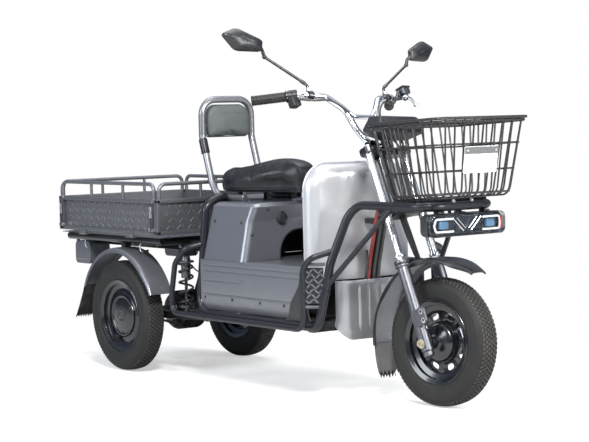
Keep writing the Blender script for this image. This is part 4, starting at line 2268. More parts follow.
@dataclass
class Guards:
    """The side guards, the step plates, and the front hoop that carries the basket."""

    guard: float = 15.0
    nerf: float = 10.5
    bend: float = 70.0

    @staticmethod
    def riser(side: int) -> tuple[Vector, Vector, Vector]:
        """The hoop's foot, knee and corner on one side."""
        foot, knee = Vector((1211, side * 262, 300)), Vector((1235, side * 235, 480))
        return foot, knee, Vector((1252, side * 150, 674))

    def joint(self, side: int) -> Vector:
        """Where a side guard meets the hoop."""
        foot, knee, _ = self.riser(side)
        return foot.lerp(knee, 0.472)

    def guard_form(self, side: int) -> Form:
        """One side guard with its nerf bar and step plate.

        Args:
            side: 1 for the rider's left, -1 for the right.

        Returns:
            Form: the guard's tubes.
        """
        form, joint = Form(), self.joint(side)
        outer = [(484, 130.5, 683.3), (484, 160.5, 683.3), (484, 222, 660), (484, 262, 259), (1190, 262, 259),
                 (1211, 262, 300)]
        form.tube([*[(x, side * y, z) for x, y, z in outer], joint], self.guard, self.bend, 20)
        foot, knee, corner = self.riser(side)
        bar = [(484, 247, 512), (452, 302, 498), (386, 302, 440), (360, 302, 330), (360, 302, 253.75),
               (1166, 302, 253.75), (1166, 302, 455), (1200, 302, 497)]
        form.tube([*[(x, side * y, z) for x, y, z in bar], knee.lerp(corner, 0.22)], self.nerf, 42, 18)
        for x in (520, 1090):
            form.tube([(x, side * 262, 259), (x, side * 300, 254)], 7, 0, 12)
        way = (knee - foot).normalized()
        form.tube([joint - way * 9, joint + way * 2], 17.2, 0, 20)
        low, high = sorted((side * 262, side * 246))
        form.block((1118, low, 250), (1140, high, 268), 2)
        form.block((560, low, 250), (580, high, 268), 2)
        return form

    @staticmethod
    def plate_line(side: int) -> tuple[Vector, Vector, Vector, Vector]:
        """The step plate's two ends, the direction along it and the direction out of its face."""
        first, last = Vector((1166, side * 302, 0)), Vector((1226, side * 254.5, 0))
        way = (last - first).normalized()
        out = Vector((way.y, -way.x, 0))
        return first, last, way, out if out.y * side > 0 else -out

    def plate_form(self, side: int) -> Form:
        """The step plate between the nerf bar and the guard, with its light rods.

        Args:
            side: 1 for the rider's left, -1 for the right.

        Returns:
            Form: the plate.
        """
        form = Form()
        first, last, way, out = self.plate_line(side)
        verts = [Vector((p.x, p.y, z)) + out * d
                 for p in (first + way * 4, last - way * 4) for z in (343, 466) for d in (-1.5, 1.5)]
        faces = [(0, 1, 3, 2), (4, 6, 7, 5), (0, 4, 5, 1), (2, 3, 7, 6), (0, 2, 6, 4), (1, 5, 7, 3)]
        form.solid(bevelled((verts, faces), 0.8, 2))
        for z in (332, 477):
            start, end = Vector((first.x, first.y, z)), Vector((last.x, last.y, z))
            form.tube([start - way, end + way * 2], 6.4, 0, 14, 1)
        return form

    def hoop_form(self) -> Form:
        """The hoop over the front with its braces and the two bars under the basket."""
        form = Form()
        right, left = [], []
        for side, store in ((-1, right), (1, left)):
            _, knee, corner = self.riser(side)
            store += [self.joint(side), knee, corner, Vector((1637, side * 150, 674))]
        form.tube([*right, *reversed(left)], self.guard, self.bend, 20)
        for side in SIDES:
            joint = self.joint(side)
            foot, knee, _ = self.riser(side)
            way = (knee - foot).normalized()
            form.tube([joint + way * 15, (1462, side * 150, 669.5)], 9, 0, 16)
        for x in (1470, 1590):
            z = 699 + math.tan(math.radians(3)) * (x - 1585) - 10
            form.tube([(x, -150, z), (x, 150, z)], 7, 0, 14)
        return form

    def build(self) -> None:
        """Makes both guards and the hoop."""
        for side in SIDES:
            name = side_name(side)
            settle(self.guard_form(side).piece(f"guard_{name}", BENCH, [TUBE]), "chassis",
                   [f"side_guard_{name}"])
            settle(self.plate_form(side).piece(f"step_plate_{name}", BENCH, [TUBE, ALLOY]), "chassis")
            first, _, way, out = self.plate_line(side)
            spots = []
            for row in range(7):
                for k in range(4):
                    at = first + way * (12 + 17 * k + (8 if row % 2 else 0)) + out * 1.4
                    spots.append((Vector((at.x, at.y, 352 + 17 * row)), out,
                                  Vector((0, 0, 1)) + way * (1 if (k + row) % 2 else -1)))
            shape = CargoBed().bar_shape()
            settle(REPEAT.make(f"step_bars_{name}", shape, spots, BENCH, PANEL, 0.03, 3), "chassis")
        settle(self.hoop_form().piece("hoop_tubes", BENCH, [TUBE]), "chassis", ["front_hoop"])
        plugs = [(Vector((1640, side * 40, 690)), Vector((1, 0, 0)), Vector((0, 0, 1))) for side in SIDES]
        settle(REPEAT.make("hoop_bolts", hex_bolt(10, 5), plugs, BENCH, ZINC), "chassis")


# ---------------------------------------------------------------- basket, lamp, fork and bar


def basket_place() -> Matrix:
    """The basket's frame: its floor leans back a little."""
    return BENCH @ Matrix.Translation((1585, 0, 699)) @ Matrix.Rotation(math.radians(-3), 4, "Y")


@dataclass
class Basket:
    """The wire basket with its double rim and the white plate on its front."""

    foot_long: float = 125.0
    rim_long: float = 178.5
    foot_wide: float = 165.0
    rim_wide: float = 200.0
    height: float = 254.0
    wire: float = 3.1
    rings: tuple[float, ...] = (0.045, 0.34, 0.67)

    def spot(self, u: float, v: float, rise: float) -> Vector:
        """A point of the basket's wall: u and v from -1 to 1, and the share of its height."""
        long, wide = lerp(self.foot_long, self.rim_long, rise), lerp(self.foot_wide, self.rim_wide, rise)
        return Vector((u * long, v * wide, self.height * rise))

    def hoop(self, rise: float, grow: float = 0.0) -> list[Vector]:
        """A ring round the basket at a share of its height."""
        long = lerp(self.foot_long, self.rim_long, rise) + grow
        wide = lerp(self.foot_wide, self.rim_wide, rise) + grow
        ring = [Vector((x, y, self.height * rise))
                for x, y in rounded_box((-long, long), (-wide, wide), 24, 6)]
        return [*ring, ring[0]]

    def bent(self, low: Vector, foot: Vector, other: Vector, high: Vector) -> list[Vector]:
        """A wire that runs down one wall, across the floor and up the other."""
        return fillet([low, foot, other, high], 34, 15)

    def build(self) -> None:
        """Makes the wires, the rim and the plate."""
        place = basket_place()
        routes = []
        for k in range(8):
            u = lerp(-0.82, 0.82, k / 7)
            routes.append(self.bent(self.spot(u, -1, 1), self.spot(u, -1, 0), self.spot(u, 1, 0),
                                    self.spot(u, 1, 1)))
        for k in range(9):
            v = lerp(-0.84, 0.84, k / 8)
            routes.append(self.bent(self.spot(-1, v, 1), self.spot(-1, v, 0), self.spot(1, v, 0),
                                    self.spot(1, v, 1)))
        for rise in self.rings:
            routes.append(self.hoop(rise, -self.wire * 1.7))
        wires = WIRES.make("basket_wires", routes, place, self.wire, WIRE, 10)
        settle(wires, "chassis", ["basket"])
        rims = WIRES.make("basket_rim", [self.hoop(0.995, 0.5), self.hoop(0.955, -3.5)], place, 5.0, WIRE, 14)
        settle(rims, "chassis")
        form = Form()
        lift = math.atan2(self.rim_long - self.foot_long, self.height)
        front = place @ Matrix.Translation((self.foot_long + 8, -7, 0)) @ Matrix.Rotation(lift, 4, "Y")
        form.prism(rounded_box((-73, 73), (78, 165), 5, 4), -1, 2.4, "X", 0.8)
        form.block((2.2, -73, 141), (4.0, 73, 163.4), 0.8, 1)
        for y in (-62, 62):
            form.lathe([(4.6, 0), (4.6, 1.2), (3.4, 2.3), (1.4, 2.3), (1.2, 1.5)],
                       Matrix.Translation((3.8, y, 152)) @ Matrix.Rotation(math.pi / 2, 4, "Y"), 16, 2)
        for y in (-60, 60):
            form.lathe([(3.6, 0), (3.6, 1.0), (2.6, 1.9)],
                       Matrix.Translation((2.3, y, 86)) @ Matrix.Rotation(math.pi / 2, 4, "Y"), 14, 2)
        settle(form.piece("front_plate", front, [WHITE, STRIP, ZINC]), "chassis",
               ["basket_plate"])


@dataclass
class Headlight:
    """The wide headlight: black housing, blue inner lenses, two white guides and a clear shell."""

    rear: float = 1612.0
    front: float = 1672.0
    half: float = 164.0
    bottom: float = 577.0
    top: float = 652.0

    def guide(self, side: int) -> list[Vector]:
        """The route of one white light guide, a rounded C open to the middle.

        Args:
            side: 1 for the rider's left, -1 for the right.

        Returns:
            list[Vector]: the route's points.
        """
        x, low, high = self.front - 9.5, self.bottom + 17, self.top - 17
        outer, inner = self.half - 24, self.half - 100
        spots = [(x + 1, side * inner, high), (x, side * outer, high),
                 (x - 3, side * (outer + 5), (low + high) / 2),
                 (x, side * outer, low), (x + 1, side * inner, low)]
        return fillet(spots, 9, 15)

    def build(self) -> None:
        """Makes the headlight."""
        form = Form()
        form.prism(rounded_box((-self.half + 1, self.half - 1), (self.bottom + 1, self.top - 1), 20, 6),
                   self.rear, self.front - 26, "X", 4, 0)
        form.prism(rounded_box((-self.half + 8, self.half - 8), (self.bottom + 8, self.top - 8), 14, 5),
                   self.front - 28, self.front - 20, "X", 1.5, 1)
        for side in SIDES:
            form.tube(self.guide(side), 3.6, 0, 12, 3)
            middle = side * (self.half - 62)
            form.prism(rounded_box((middle - 19, middle + 19), (self.bottom + 25, self.top - 25), 5, 4),
                       self.front - 22, self.front - 12, "X", 2.0, 2)
            form.block((1622, side * 88, 648), (1650, side * 112, 658.7), 2, 0)
            form.tube([(self.front - 15, side * 62, self.top - 15),
                       (self.front - 13, side * 16, self.bottom + 17)], 2.6, 0, 8, 5)
            form.tube([(self.front - 15, side * 44, self.top - 15),
                       (self.front - 13, side * 6, self.bottom + 24)], 1.6, 0, 8, 5)
            low, high = sorted((side * 10, side * 22))
            form.block((1560, low, 632), (1613, high, 640), 1.5, 0)
            form.block((1556, low, 632), (1562, high, 694), 1.5, 0)
        form.block((self.front - 24, self.half - 13, self.bottom + 18),
                   (self.front - 16, self.half - 6, self.top - 18), 1.5, 4)
        horn = Matrix.Translation((1560, 62, 618)) @ Matrix.Rotation(math.pi / 2, 4, "Y")
        form.lathe([(30, 0), (33, 2), (33, 14), (28, 18), (16, 20), (12, 26), (4, 27)], horn, 32)
        form.block((1556, 56, 640), (1561, 70, 694), 1.5, 0)
        finishes = [PLASTIC, REFLECTOR, BLUE_LENS, GUIDE, RED_LENS, CHROME]
        settle(form.piece("headlight_case", BENCH, finishes), "chassis", ["headlight"])
        shell = Form().prism(rounded_box((-self.half, self.half), (self.bottom, self.top), 21, 7),
                             self.front - 26.4, self.front, "X", 6)
        settle(shell.piece("headlight_shell", BENCH, [CLEAR], 40), "chassis")
        lead = Form()
        lead.tube(curve_points([(1614, 30, 600), (1588, 26, 580), (1540, 20, 590), (1500, 14, 640),
                                (1462, 8, 674)], 30), 5, 0, 12)
        settle(lead.piece("headlight_lead", BENCH, [CABLE]), "chassis")


@dataclass
class Fork:
    """The telescopic fork with its clamps, sliders, axle and fender."""

    leg: float = 85.0
    forward: float = 40.0
    drop: float = 17.39
    fender: float = 282.0
    fender_half: float = 55.0

    def clamp(self, form: Form, low: float, high: float) -> None:
        """Adds a clamp that holds both stanchions and the stem.

        Args:
            form: the fork's upper part.
            low: its lower face, along the steering axis.
            high: its upper face.
        """
        half = [(-26, 0), (-26, -28), (-14, -46), (4, -72), (12, -100), (28, -108), (54, -108), (64, -98),
                (66, -82),
                (60, -62), (40, -50), (32, -28), (31, 0)]
        outline = [*half, *[(x, -y) for x, y in reversed(half[1:-1])]]
        form.prism(outline, low, high, "Z", 3.0)
        for side in SIDES:
            form.block((60, side * 78, low + 6), (71, side * 92, high - 6), 2)

    def upper(self) -> Form:
        """The stem, the clamps, the stanchions and their caps."""
        form = Form()
        form.tube([(0, 0, 447), (0, 0, 686)], 14, 0, 24)
        for low, high in ((445, 469), (663, 687)):
            self.clamp(form, low, high)
        for side in SIDES:
            form.tube([(self.forward, side * self.leg, 158), (self.forward, side * self.leg, 690)], 14, 0, 28,
                      3)
            form.tube([(self.forward, side * self.leg, 687), (self.forward, side * self.leg, 695)], 12, 0, 6,
                      2)
        form.tube([(0, 0, 686), (0, 0, 700)], 13, 0, 6, 2)
        for side in SIDES:
            form.lathe([(14.2, 285), (18.5, 286), (19.5, 289), (19.5, 293), (18.5, 296), (14.2, 297)],
                       Matrix.Translation((self.forward, side * self.leg, 0)), 28, 1)
        return form

    def slider(self, side: int) -> Form:
        """A satin slider with its collars, its lower lug and the two-hole link.

        Args:
            side: 1 for the rider's left, -1 for the right.

        Returns:
            Form: the slider.
        """
        turn = Matrix.Translation((self.forward, side * self.leg, 0))
        form = Form()
        form.lathe([(15, -45.5), (19.5, -45), (21, -41), (21, 236), (20.2, 244), (20.2, 250), (23.5, 251),
                    (25, 253),
                    (25, 258), (23, 260.5), (22, 262), (24.6, 264), (25, 268), (25, 272.5), (23, 275.4),
                    (16.2, 276)],
                   turn, 36)
        form.lathe([(15, -44), (18, -48), (18, -60), (15, -63.5), (6, -64)], turn, 28)
        x = self.forward
        y0, y1 = sorted((side * 96, side * 106))
        slot = [(29.5, 42), (34, 38), (84, 38), (92, 46), (93, 90), (88, 98), (76, 99), (60, 96), (34, 98),
                (29.5, 92)]
        form.prism([(a, s) for a, s in slot], y0, y1, "Y", 2.2)
        for a, s in ((66, 82), (66, 52)):
            hole = Matrix.Translation((a + 12, side * 106.4,
                                       s)) @ (ALONG_Y if side > 0 else ALONG_Y.inverted())
            form.lathe([(4.6, -0.6), (8.4, -0.4), (8.8, 0.4), (8.0, 1.0), (5.0, 1.0), (4.6, -0.4)], hole, 20,
                       1, True)
            form.lathe([(4.6, -0.4), (4.4, 0.1)], hole, 20, 2)
        form.tube([(x, side * 70, -self.drop), (x, side * 100, -self.drop)], 17, 0, 26)
        form.tube([(x + 24, side * 85, 30), (x + 30, side * 85, 30)], 6, 0, 12, 1)
        return form

    def axle(self) -> Form:
        """The axle with its washers and plated nuts."""
        form = Form()
        form.tube([(self.forward, -116, -self.drop), (self.forward, 116, -self.drop)], 7.4, 0, 20)
        for side in SIDES:
            turn = Matrix.Translation((self.forward, side * 106.4,
                                       -self.drop)) @ (ALONG_Y if side > 0 else ALONG_Y.inverted())
            form.lathe([(8, 0), (15.5, 0), (15.5, 1.8), (8, 2)], turn, 28, 0)
            nut = [(13 * math.cos(math.pi * k / 3), 13 * math.sin(math.pi * k / 3)) for k in range(6)]
            form.prism(nut, 1.8, 9.6, "Z", 1.0, 1, turn)
        return form

    def fender_skin(self) -> list[list[Vector]]:
        """The front fender's outer face, its lower edges waved and its front drawn to a point."""
        rows, steps = [], 44
        for i in range(steps + 1):
            share = i / steps
            angle = math.radians(lerp(33, 163, share))
            front = smoothed((0.16 - share) / 0.16)
            wave = 3.2 * math.sin(share * 21)
            lip = 15 + wave - 8 * front
            half = self.fender_half * (1 - 0.42 * front)
            section = [(-1, -lip), (-0.995, -lip * 0.45), (-0.955, -3.2), (-0.87, -0.4), (-0.5, 1.0),
                       (0, 1.8), (0.5, 1.0),
                       (0.87, -0.4), (0.955, -3.2), (0.995, -lip * 0.45), (1, -lip)]
            row = []
            for across, height in section:
                radius = self.fender + height - 2 + 5 * front
                row.append(Vector((self.forward + radius * math.cos(angle), across * half,
                                   -self.drop + radius * math.sin(angle))))
            rows.append(row)
        return rows

    def flap(self, form: Form, length: float, half: float, back: float, finish: int) -> None:
        """Adds a toothed flap at the fender's rear end.

        Args:
            form: the fender.
            length: how far it hangs down.
            half: half of its width.
            back: how far it stands inside the fender.
            finish: which of the fender's finishes it has.
        """
        angle = math.radians(163)
        reach = self.fender - 5 - back
        x0, z0 = self.forward + reach * math.cos(angle), -self.drop + reach * math.sin(angle) + 6
        lean = -math.radians(STEER.rake) / 2
        grid, teeth = [], 5
        for r in range(8):
            s = r / 7
            row = []
            for c in range(2 * teeth + 1):
                y = lerp(-half, half, c / (2 * teeth)) * (1 - 0.06 * s)
                tooth = (15 if c % 2 else 0) + 4 * noise.noise((c * 1.3, back, 0.4))
                down = length * s - (tooth if r == 7 else 0)
                row.append(Vector((x0 + down * math.sin(lean) - 4 * math.sin(math.pi * s), y,
                                   z0 - down * math.cos(lean))))
            grid.append(row)
        form.sheet(grid, 3.2, finish)

    def build(self) -> None:
        """Makes the fork."""
        settle(self.upper().piece("fork_top", FORK, [BLACK, CHROME, ZINC, STANCHION]), "steering",
               ["fork_upper"])
        for side in SIDES:
            name = side_name(side)
            made = self.slider(side).piece(f"fork_slider_{name}", FORK, [ALLOY, CHROME, BLACK])
            settle(made, "fork_sliders", [f"fork_lower_{name}"])
        settle(self.axle().piece("fork_axle", FORK, [ZINC, BRASS]), "fork_sliders", ["front_axle"])
        form = Form().sheet(self.fender_skin(), 2.8, 0, 1)
        form.prism([(34, 268), (26, 300), (16, 380), (12, 444), (40, 444), (44, 380), (48, 300), (50, 267)],
                   -2.5, 2.5, "Y", 1, 1)
        form.block((8, -40, 440), (56, 40, 445), 1.2, 1)
        self.flap(form, 106, 50, 5, 3)
        self.flap(form, 118, 38, 0, 2)
        settle(form.piece("fender_front", FORK, [BODY, PLASTIC, FLAP, GREY_FLAP], 45), "steering",
               ["front_fender"])


@dataclass
class Cockpit:
    """The handlebar with its grips, switches, lever, mirrors, dash and cables."""

    tube: float = 11.0
    bend: float = 45.0

    @staticmethod
    def knots(side: int) -> list[Vector]:
        """The bar's corners on one side, from the clamp to the end."""
        raked = STEER.raked
        return [Vector((18, side * 45, 706)), raked(1168, side * 62, 930), raked(1128, side * 74, 992),
                raked(1087, side * 127, 1037), raked(1061, side * 216, 1042), raked(936, side * 336, 1020)]

    def along(self, side: int, share: float) -> Vector:
        """A point between the bar's last bend and its end."""
        knots = self.knots(side)
        return knots[4].lerp(knots[5], share)

    def bar(self) -> Form:
        """The chrome bar with its brace and clamps."""
        form = Form()
        right, left = self.knots(-1), self.knots(1)
        form.tube([*reversed(right), *left], self.tube, self.bend, 22)
        brace = [STEER.raked(1112, -98, 1012), STEER.raked(1142, -41, 969), STEER.raked(1142, 41, 969),
                 STEER.raked(1112, 98, 1012)]
        form.tube(brace, 8, 24, 16)
        for side in SIDES:
            low, high = sorted((side * 20, side * 56))
            form.block((4, low, 687.4), (32, high, 704), 3, 1)
            form.block((4, low, 705), (32, high, 720), 4, 1)
            for a in (9, 27):
                form.tube([(a, side * 38, 718), (a, side * 38, 723.5)], 4, 0, 6, 2)
        return form

    def hold(self, side: int, low: float, high: float,
             sizes: Sequence[tuple[float, float]]) -> tuple[list[Vector], list[float]]:
        """A route along the bar's end with a size for each share.

        Args:
            side: 1 for the rider's left, -1 for the right.
            low: the share of the bar's end where it starts.
            high: the share where it ends.
            sizes: pairs of a share of this stretch and the radius there.

        Returns:
            tuple[list[Vector], list[float]]: the points and their radii.
        """
        spots = [self.along(side, lerp(low, high, s)) for s, _ in sizes]
        return spots, [size for _, size in sizes]

    def grip_form(self, side: int) -> Form:
        """A ribbed rubber grip with a collar and a rounded end.

        Args:
            side: 1 for the rider's left, -1 for the right.

        Returns:
            Form: the grip.
        """
        sizes = [(0, 17), (0.012, 21), (0.03, 21), (0.045, 17.6)]
        for k in range(22):
            s = lerp(0.06, 0.93, k / 21)
            sizes += [(s, 16.0), (s + 0.008, 17.2), (s + 0.03, 17.2), (s + 0.037, 16.0)]
        sizes += [(0.975, 17.4), (0.985, 18.6), (0.995, 18.4), (1.0, 15)]
        spots, values = self.hold(side, 0.29, 1.0, sizes)
        form = Form()
        count = len(spots)
        form.tube(spots, lambda share: values[min(count - 1, round(share * (count - 1)))], 0, 20)
        return form

    def switch_box(self) -> Form:
        """The right switch housing with its buttons."""
        form = Form()
        side = -1
        spots, values = self.hold(side, 0.09, 0.28,
                                  [(0, 18), (0.08, 21), (0.48, 21), (0.5, 20.2), (0.52, 21), (0.92, 21),
                                   (1, 18)])
        form.tube(spots, lambda share: values[min(6, round(share * 6))], 0, 24)
        middle = self.along(side, 0.185)
        form.block(middle + Vector((-17, -17, -42)), middle + Vector((17, 17, -4)), 5)
        form.block(middle + Vector((-20, -9, -34)), middle + Vector((-16, 2, -26)), 1.5, 2)
        form.block(middle + Vector((-20, -9, -22)), middle + Vector((-16, 2, -14)), 1.5, 1)
        place = Matrix.Translation(middle + Vector((-16, 9, -28))) @ Matrix.Rotation(-math.pi / 2, 4, "Y")
        form.lathe([(5, 0), (5, 3), (3.6, 4.2)], place, 16, 1)
        return form

    def pivot(self) -> Vector:
        """The brake lever's pivot."""
        return STEER.raked(1106, 246, 1046)

    def cylinder(self) -> Form:
        """The master cylinder with its clamp, tank and cap screws."""
        form, pivot = Form(), self.pivot()
        spots, values = self.hold(1, 0.09, 0.27, [(0, 15.5), (0.1, 17), (0.9, 17), (1, 15.5)])
        form.tube(spots, lambda share: values[min(3, round(share * 3))], 0, 22)
        middle = self.along(1, 0.18)
        form.tube([middle, middle.lerp(pivot, 0.6), pivot], 8.5, 0, 16)
        form.block(pivot + Vector((-18, -18, 8)), pivot + Vector((18, 18, 33)), 5)
        form.block(pivot + Vector((-20, -20, 31)), pivot + Vector((20, 20, 38)), 2.4, 1)
        form.tube([pivot + Vector((0, 0, -12)), pivot + Vector((0, 0, 10))], 9, 0, 18)
        for dx in (-13, 13):
            form.lathe([(2.8, 0), (2.8, 1), (2, 1.8)], Matrix.Translation(pivot + Vector((dx, 0, 38))), 12, 2)
        return form

    def lever(self) -> Form:
        """The chrome brake lever with its eye and ball end."""
        form, pivot, tip = Form(), self.pivot(), STEER.raked(1039, 371, 1023)
        form.lathe([(4, -4.8), (12, -4.4), (13, -2), (13, 2), (12, 4.4), (4, 4.8)], Matrix.Translation(pivot),
                   26)
        way = (tip - pivot).normalized()
        out = way.cross(Vector((0, 0, 1)))
        knots = [pivot + way * 8, pivot.lerp(tip, 0.25) + out * 7, pivot.lerp(tip, 0.6) + out * 4,
                 pivot.lerp(tip, 0.88) - out * 1, tip]
        form.tube(curve_points(knots, 24), lambda s: lerp(6.6, 4.4, smoothed(s)), 0, 16, 0, flat=0.72)
        turn = Matrix.Translation(tip)
        form.lathe([(9 * math.sin(math.pi * k / 10), -9 * math.cos(math.pi * k / 10)) for k in range(1, 10)],
                   turn, 20)
        return form

    def mirror(self, side: int) -> tuple[Form, Form]:
        """The stalk and the head of one mirror.

        Args:
            side: 1 for the rider's left, -1 for the right.

        Returns:
            tuple[Form, Form]: the stalk and the head.
        """
        raked = STEER.raked
        knots = self.knots(side)
        base = knots[4].lerp(knots[3], 0.34)
        top, ball = base + Vector((0, 0, 40)), raked(1013, side * 346, 1168)
        stalk = Form()
        way = (knots[4] - knots[3]).normalized()
        stalk.tube([base - way * 12, base + way * 12], 16.6, 0, 22)
        stalk.tube([base + Vector((0, 0, 8)), base + Vector((0, 0, 26))], 9.4, 0, 6, 1)
        stalk.tube([base + Vector((0, 0, 14)), top, ball], 5, 16, 14)
        stalk.tube([top.lerp(ball, 0.04), top.lerp(ball, 0.16)], 6.6, 0, 6)
        head = Form()
        corners = [raked(1012, side * 362, 1184), raked(996, side * 466, 1184), raked(981, side * 515, 1238),
                   raked(980, side * 452, 1262), raked(1010, side * 356, 1222)]
        middle = sum(corners, Vector()) / 5
        normal = (corners[1] - corners[0]).cross(corners[3] - corners[0]).normalized()
        ahead = (raked(1200, 0, 1100) - raked(1000, 0, 1100)).normalized()
        if normal.dot(ahead) < 0:
            normal = -normal
        outline = self._soft(corners, 0.2)
        rings = []
        for lift, size in ((-0.5, 0.965), (-1.0, 1.0), (3, 1.012), (9, 0.985), (15, 0.88), (21, 0.62),
                           (24.5, 0.3)):
            rings.append([middle + (p - middle) * size + normal * lift for p in outline])
        head.loft(rings, 0)
        glass = [middle + (p - middle) * 0.93 - normal * 1.4 for p in outline]
        head.loft([glass, [p + normal * 0.8 for p in glass]], 0, 1)
        ridge = [corners[0].lerp(middle, 0.3) + normal * 17, middle + normal * 24.6,
                 corners[2].lerp(middle, 0.35) + normal * 15]
        head.tube(curve_points(ridge, 12), lambda s: 3.4 - 2 * abs(s - 0.5), 0, 8, 0, flat=0.6)
        neck = corners[0].lerp(corners[4], 0.4)
        head.tube([ball, ball.lerp(neck, 0.5) + Vector((0, 0, 4)), neck.lerp(middle, 0.1) + normal * 6], 6,
                  10, 14)
        head.lathe([(8 * math.sin(math.pi * k / 8), -8 * math.cos(math.pi * k / 8)) for k in range(1, 8)],
                   Matrix.Translation(ball), 18)
        return stalk, head

    @staticmethod
    def _soft(corners: Sequence[Vector], share: float) -> list[Vector]:
        """A closed outline with its corners cut round.

        Args:
            corners: the outline's corners.
            share: how much of each edge a corner takes.

        Returns:
            list[Vector]: the outline's points.
        """
        spots = []
        count = len(corners)
        for i in range(count):
            before, here, after = corners[i - 1], corners[i], corners[(i + 1) % count]
            first, last = here.lerp(before, share), here.lerp(after, share)
            for k in range(6):
                t = k / 5
                spots.append(first * (1 - t) ** 2 + here * 2 * t * (1 - t) + last * t * t)
        return spots

    def dash(self) -> Form:
        """The dash with its hood and screen."""
        raked = STEER.raked
        rings = []
        for x0, x1, half, z in ((1272, 1308, 50, 887), (1267, 1313, 56, 890), (1247, 1333, 104, 912),
                                (1245, 1335, 108, 917),
                                (1245, 1335, 108, 925), (1247, 1333, 106, 930), (1258, 1320, 92, 966),
                                (1263, 1315, 84, 970)):
            rings.append([raked(x, y, z) for x, y in rounded_box((x0, x1), (-half, half), 10, 4)])
        form = Form().loft(rings, 0)
        form.block((40, -14, 687.6), (64, 14, 772), 3)
        screen = [raked(1246 + 16 * (z - 925) / 30, y, z)
                  for y, z in ((-58, 931), (58, 931), (54, 952), (-54, 952))]
        lift = (screen[1] - screen[0]).cross(screen[3] - screen[0]).normalized()
        if lift.x > 0:
            lift = -lift
        form.loft([[p + lift * 0.2 for p in screen], [p + lift * 1.4 for p in screen]], 0, 1)
        return form

    def cables(self) -> Form:
        """The throttle cable and the brake hose with their clip."""
        form = Form()
        starts = {-1: self.along(-1, 0.185) + Vector((23.4, 0, -21)),
                  1: self.pivot() + Vector((0, -25.2, 25))}
        for side, start in starts.items():
            knots = self.knots(side)
            under = Vector((16, 0, -20))
            route = [start, knots[4].lerp(knots[3], 0.25) + under * 1.5, knots[3] + under * 1.2,
                     knots[2] + under,
                     knots[1] + under * 1.1, Vector((84, side * 46, 690)), Vector((72, side * 26, 640)),
                     Vector((72, side * 26, 560)),
                     Vector((72, side * 26, 474))]
            line = curve_points(route, 56)
            form.tube(line, 3.3, 0, 12)
            form.tube(line[:6], 4.8, 0, 12)
            for k, reach in enumerate((10, 22, 33)):
                drop = [Vector((58 + reach, side * (12 + 13 * k), 716)),
                        Vector((78 + reach, side * (16 + 12 * k), 670)),
                        Vector((70 + reach, side * (10 + 9 * k), 600)),
                        Vector((74 + reach * 0.4, side * (8 + 5 * k), 520)),
                        Vector((66, side * (6 + 4 * k), 470))]
                form.tube(curve_points(drop, 30), 3.6 - 0.5 * k, 0, 10)
            low, high = sorted((side * 21, side * 31))
            form.block((68.5, low, 560), (76.5, high, 574), 1.5, 1)
        return form

    def build(self) -> None:
        """Makes everything on the handlebar, and the harness below it."""
        def put(form: Form, name: str, finishes: Sequence[Finish], body: str, node: str) -> None:
            """Settles one piece of the fork's frame."""
            settle(form.piece(name, FORK, finishes), body, [node])

        put(self.bar(), "bar_tube", [CHROME, BLACK, ZINC], "steering", "handlebar")
        put(self.grip_form(-1), "grip_sleeve_right", [GRIP], "throttle", "throttle_grip")
        put(self.grip_form(1), "grip_sleeve_left", [GRIP], "steering", "grip_left")
        put(self.switch_box(), "switch_block", [PLASTIC, RED, GUIDE], "steering",
            "switch_housing_right")
        put(self.cylinder(), "brake_cylinder", [ALLOY, PLASTIC, ZINC], "steering",
            "master_cylinder_left")
        put(self.lever(), "brake_blade", [CHROME], "brake_lever", "brake_lever_left")
        put(self.dash(), "dash_hood", [PLASTIC, GLOSS], "steering", "dash_display")
        put(self.cables(), "bar_cables", [CABLE, PLASTIC], "steering", "control_cables")
        for side in SIDES:
            name = side_name(side)
            stalk, head = self.mirror(side)
            put(stalk, f"mirror_rod_{name}", [BLACK, ZINC], "steering",
                f"mirror_stalk_{name}")
            put(head, f"mirror_cup_{name}", [PLASTIC, MIRROR_GLASS], f"mirror_{name}",
                f"mirror_head_{name}")
        axis = STEER.on_axis
        elbow = Vector((1192.5, 0, 470))
        start = axis(560).lerp(elbow, 0.3)
        form = Form()
        line = [Vector((start.x, -26.8, start.z)), Vector((1192.5, -26.8, 470)), Vector((1157, -26.8, 275))]
        form.tube(line, 7, 40, 16)
        for share in (0.12, 0.4, 0.68, 0.92):
            spot = line[1].lerp(line[2], share)
            way = (line[2] - line[1]).normalized()
            form.tube([spot - way * 3, spot + way * 3], 8.2, 0, 14, 1)
        form.tube([line[1] + Vector((-3, -10, 40)), line[1] + Vector((0, -11, -10)),
                   line[2] + Vector((2, -11, 40))], 4.4, 30, 12, 1)
        settle(form.piece("harness_sleeve", BENCH, [RED, CABLE]), "chassis", ["main_harness"])


# ---------------------------------------------------------------- studio


@dataclass(frozen=True)
class Lamp:
    """A large soft lamp: its place and size in metres, its power in watts and its colour."""

    name: str
    at: tuple[float, float, float]
    size: float
    power: float
    colour: Colour
    aim: tuple[float, float, float] = (0.0, 0.0, 0.5)

    def build(self) -> None:
        """Sets the lamp up, turned to the middle of the tricycle."""
        made = bpy.data.lights.new(self.name, "AREA")
        made.shape, made.size, made.energy, made.color = "DISK", self.size, self.power, self.colour
        holder = bpy.data.objects.new(self.name, made)
        bpy.context.scene.collection.objects.link(holder)
        holder.location = self.at
        holder.rotation_euler = (Vector(self.aim) - Vector(self.at)).to_track_quat("-Z", "Y").to_euler()


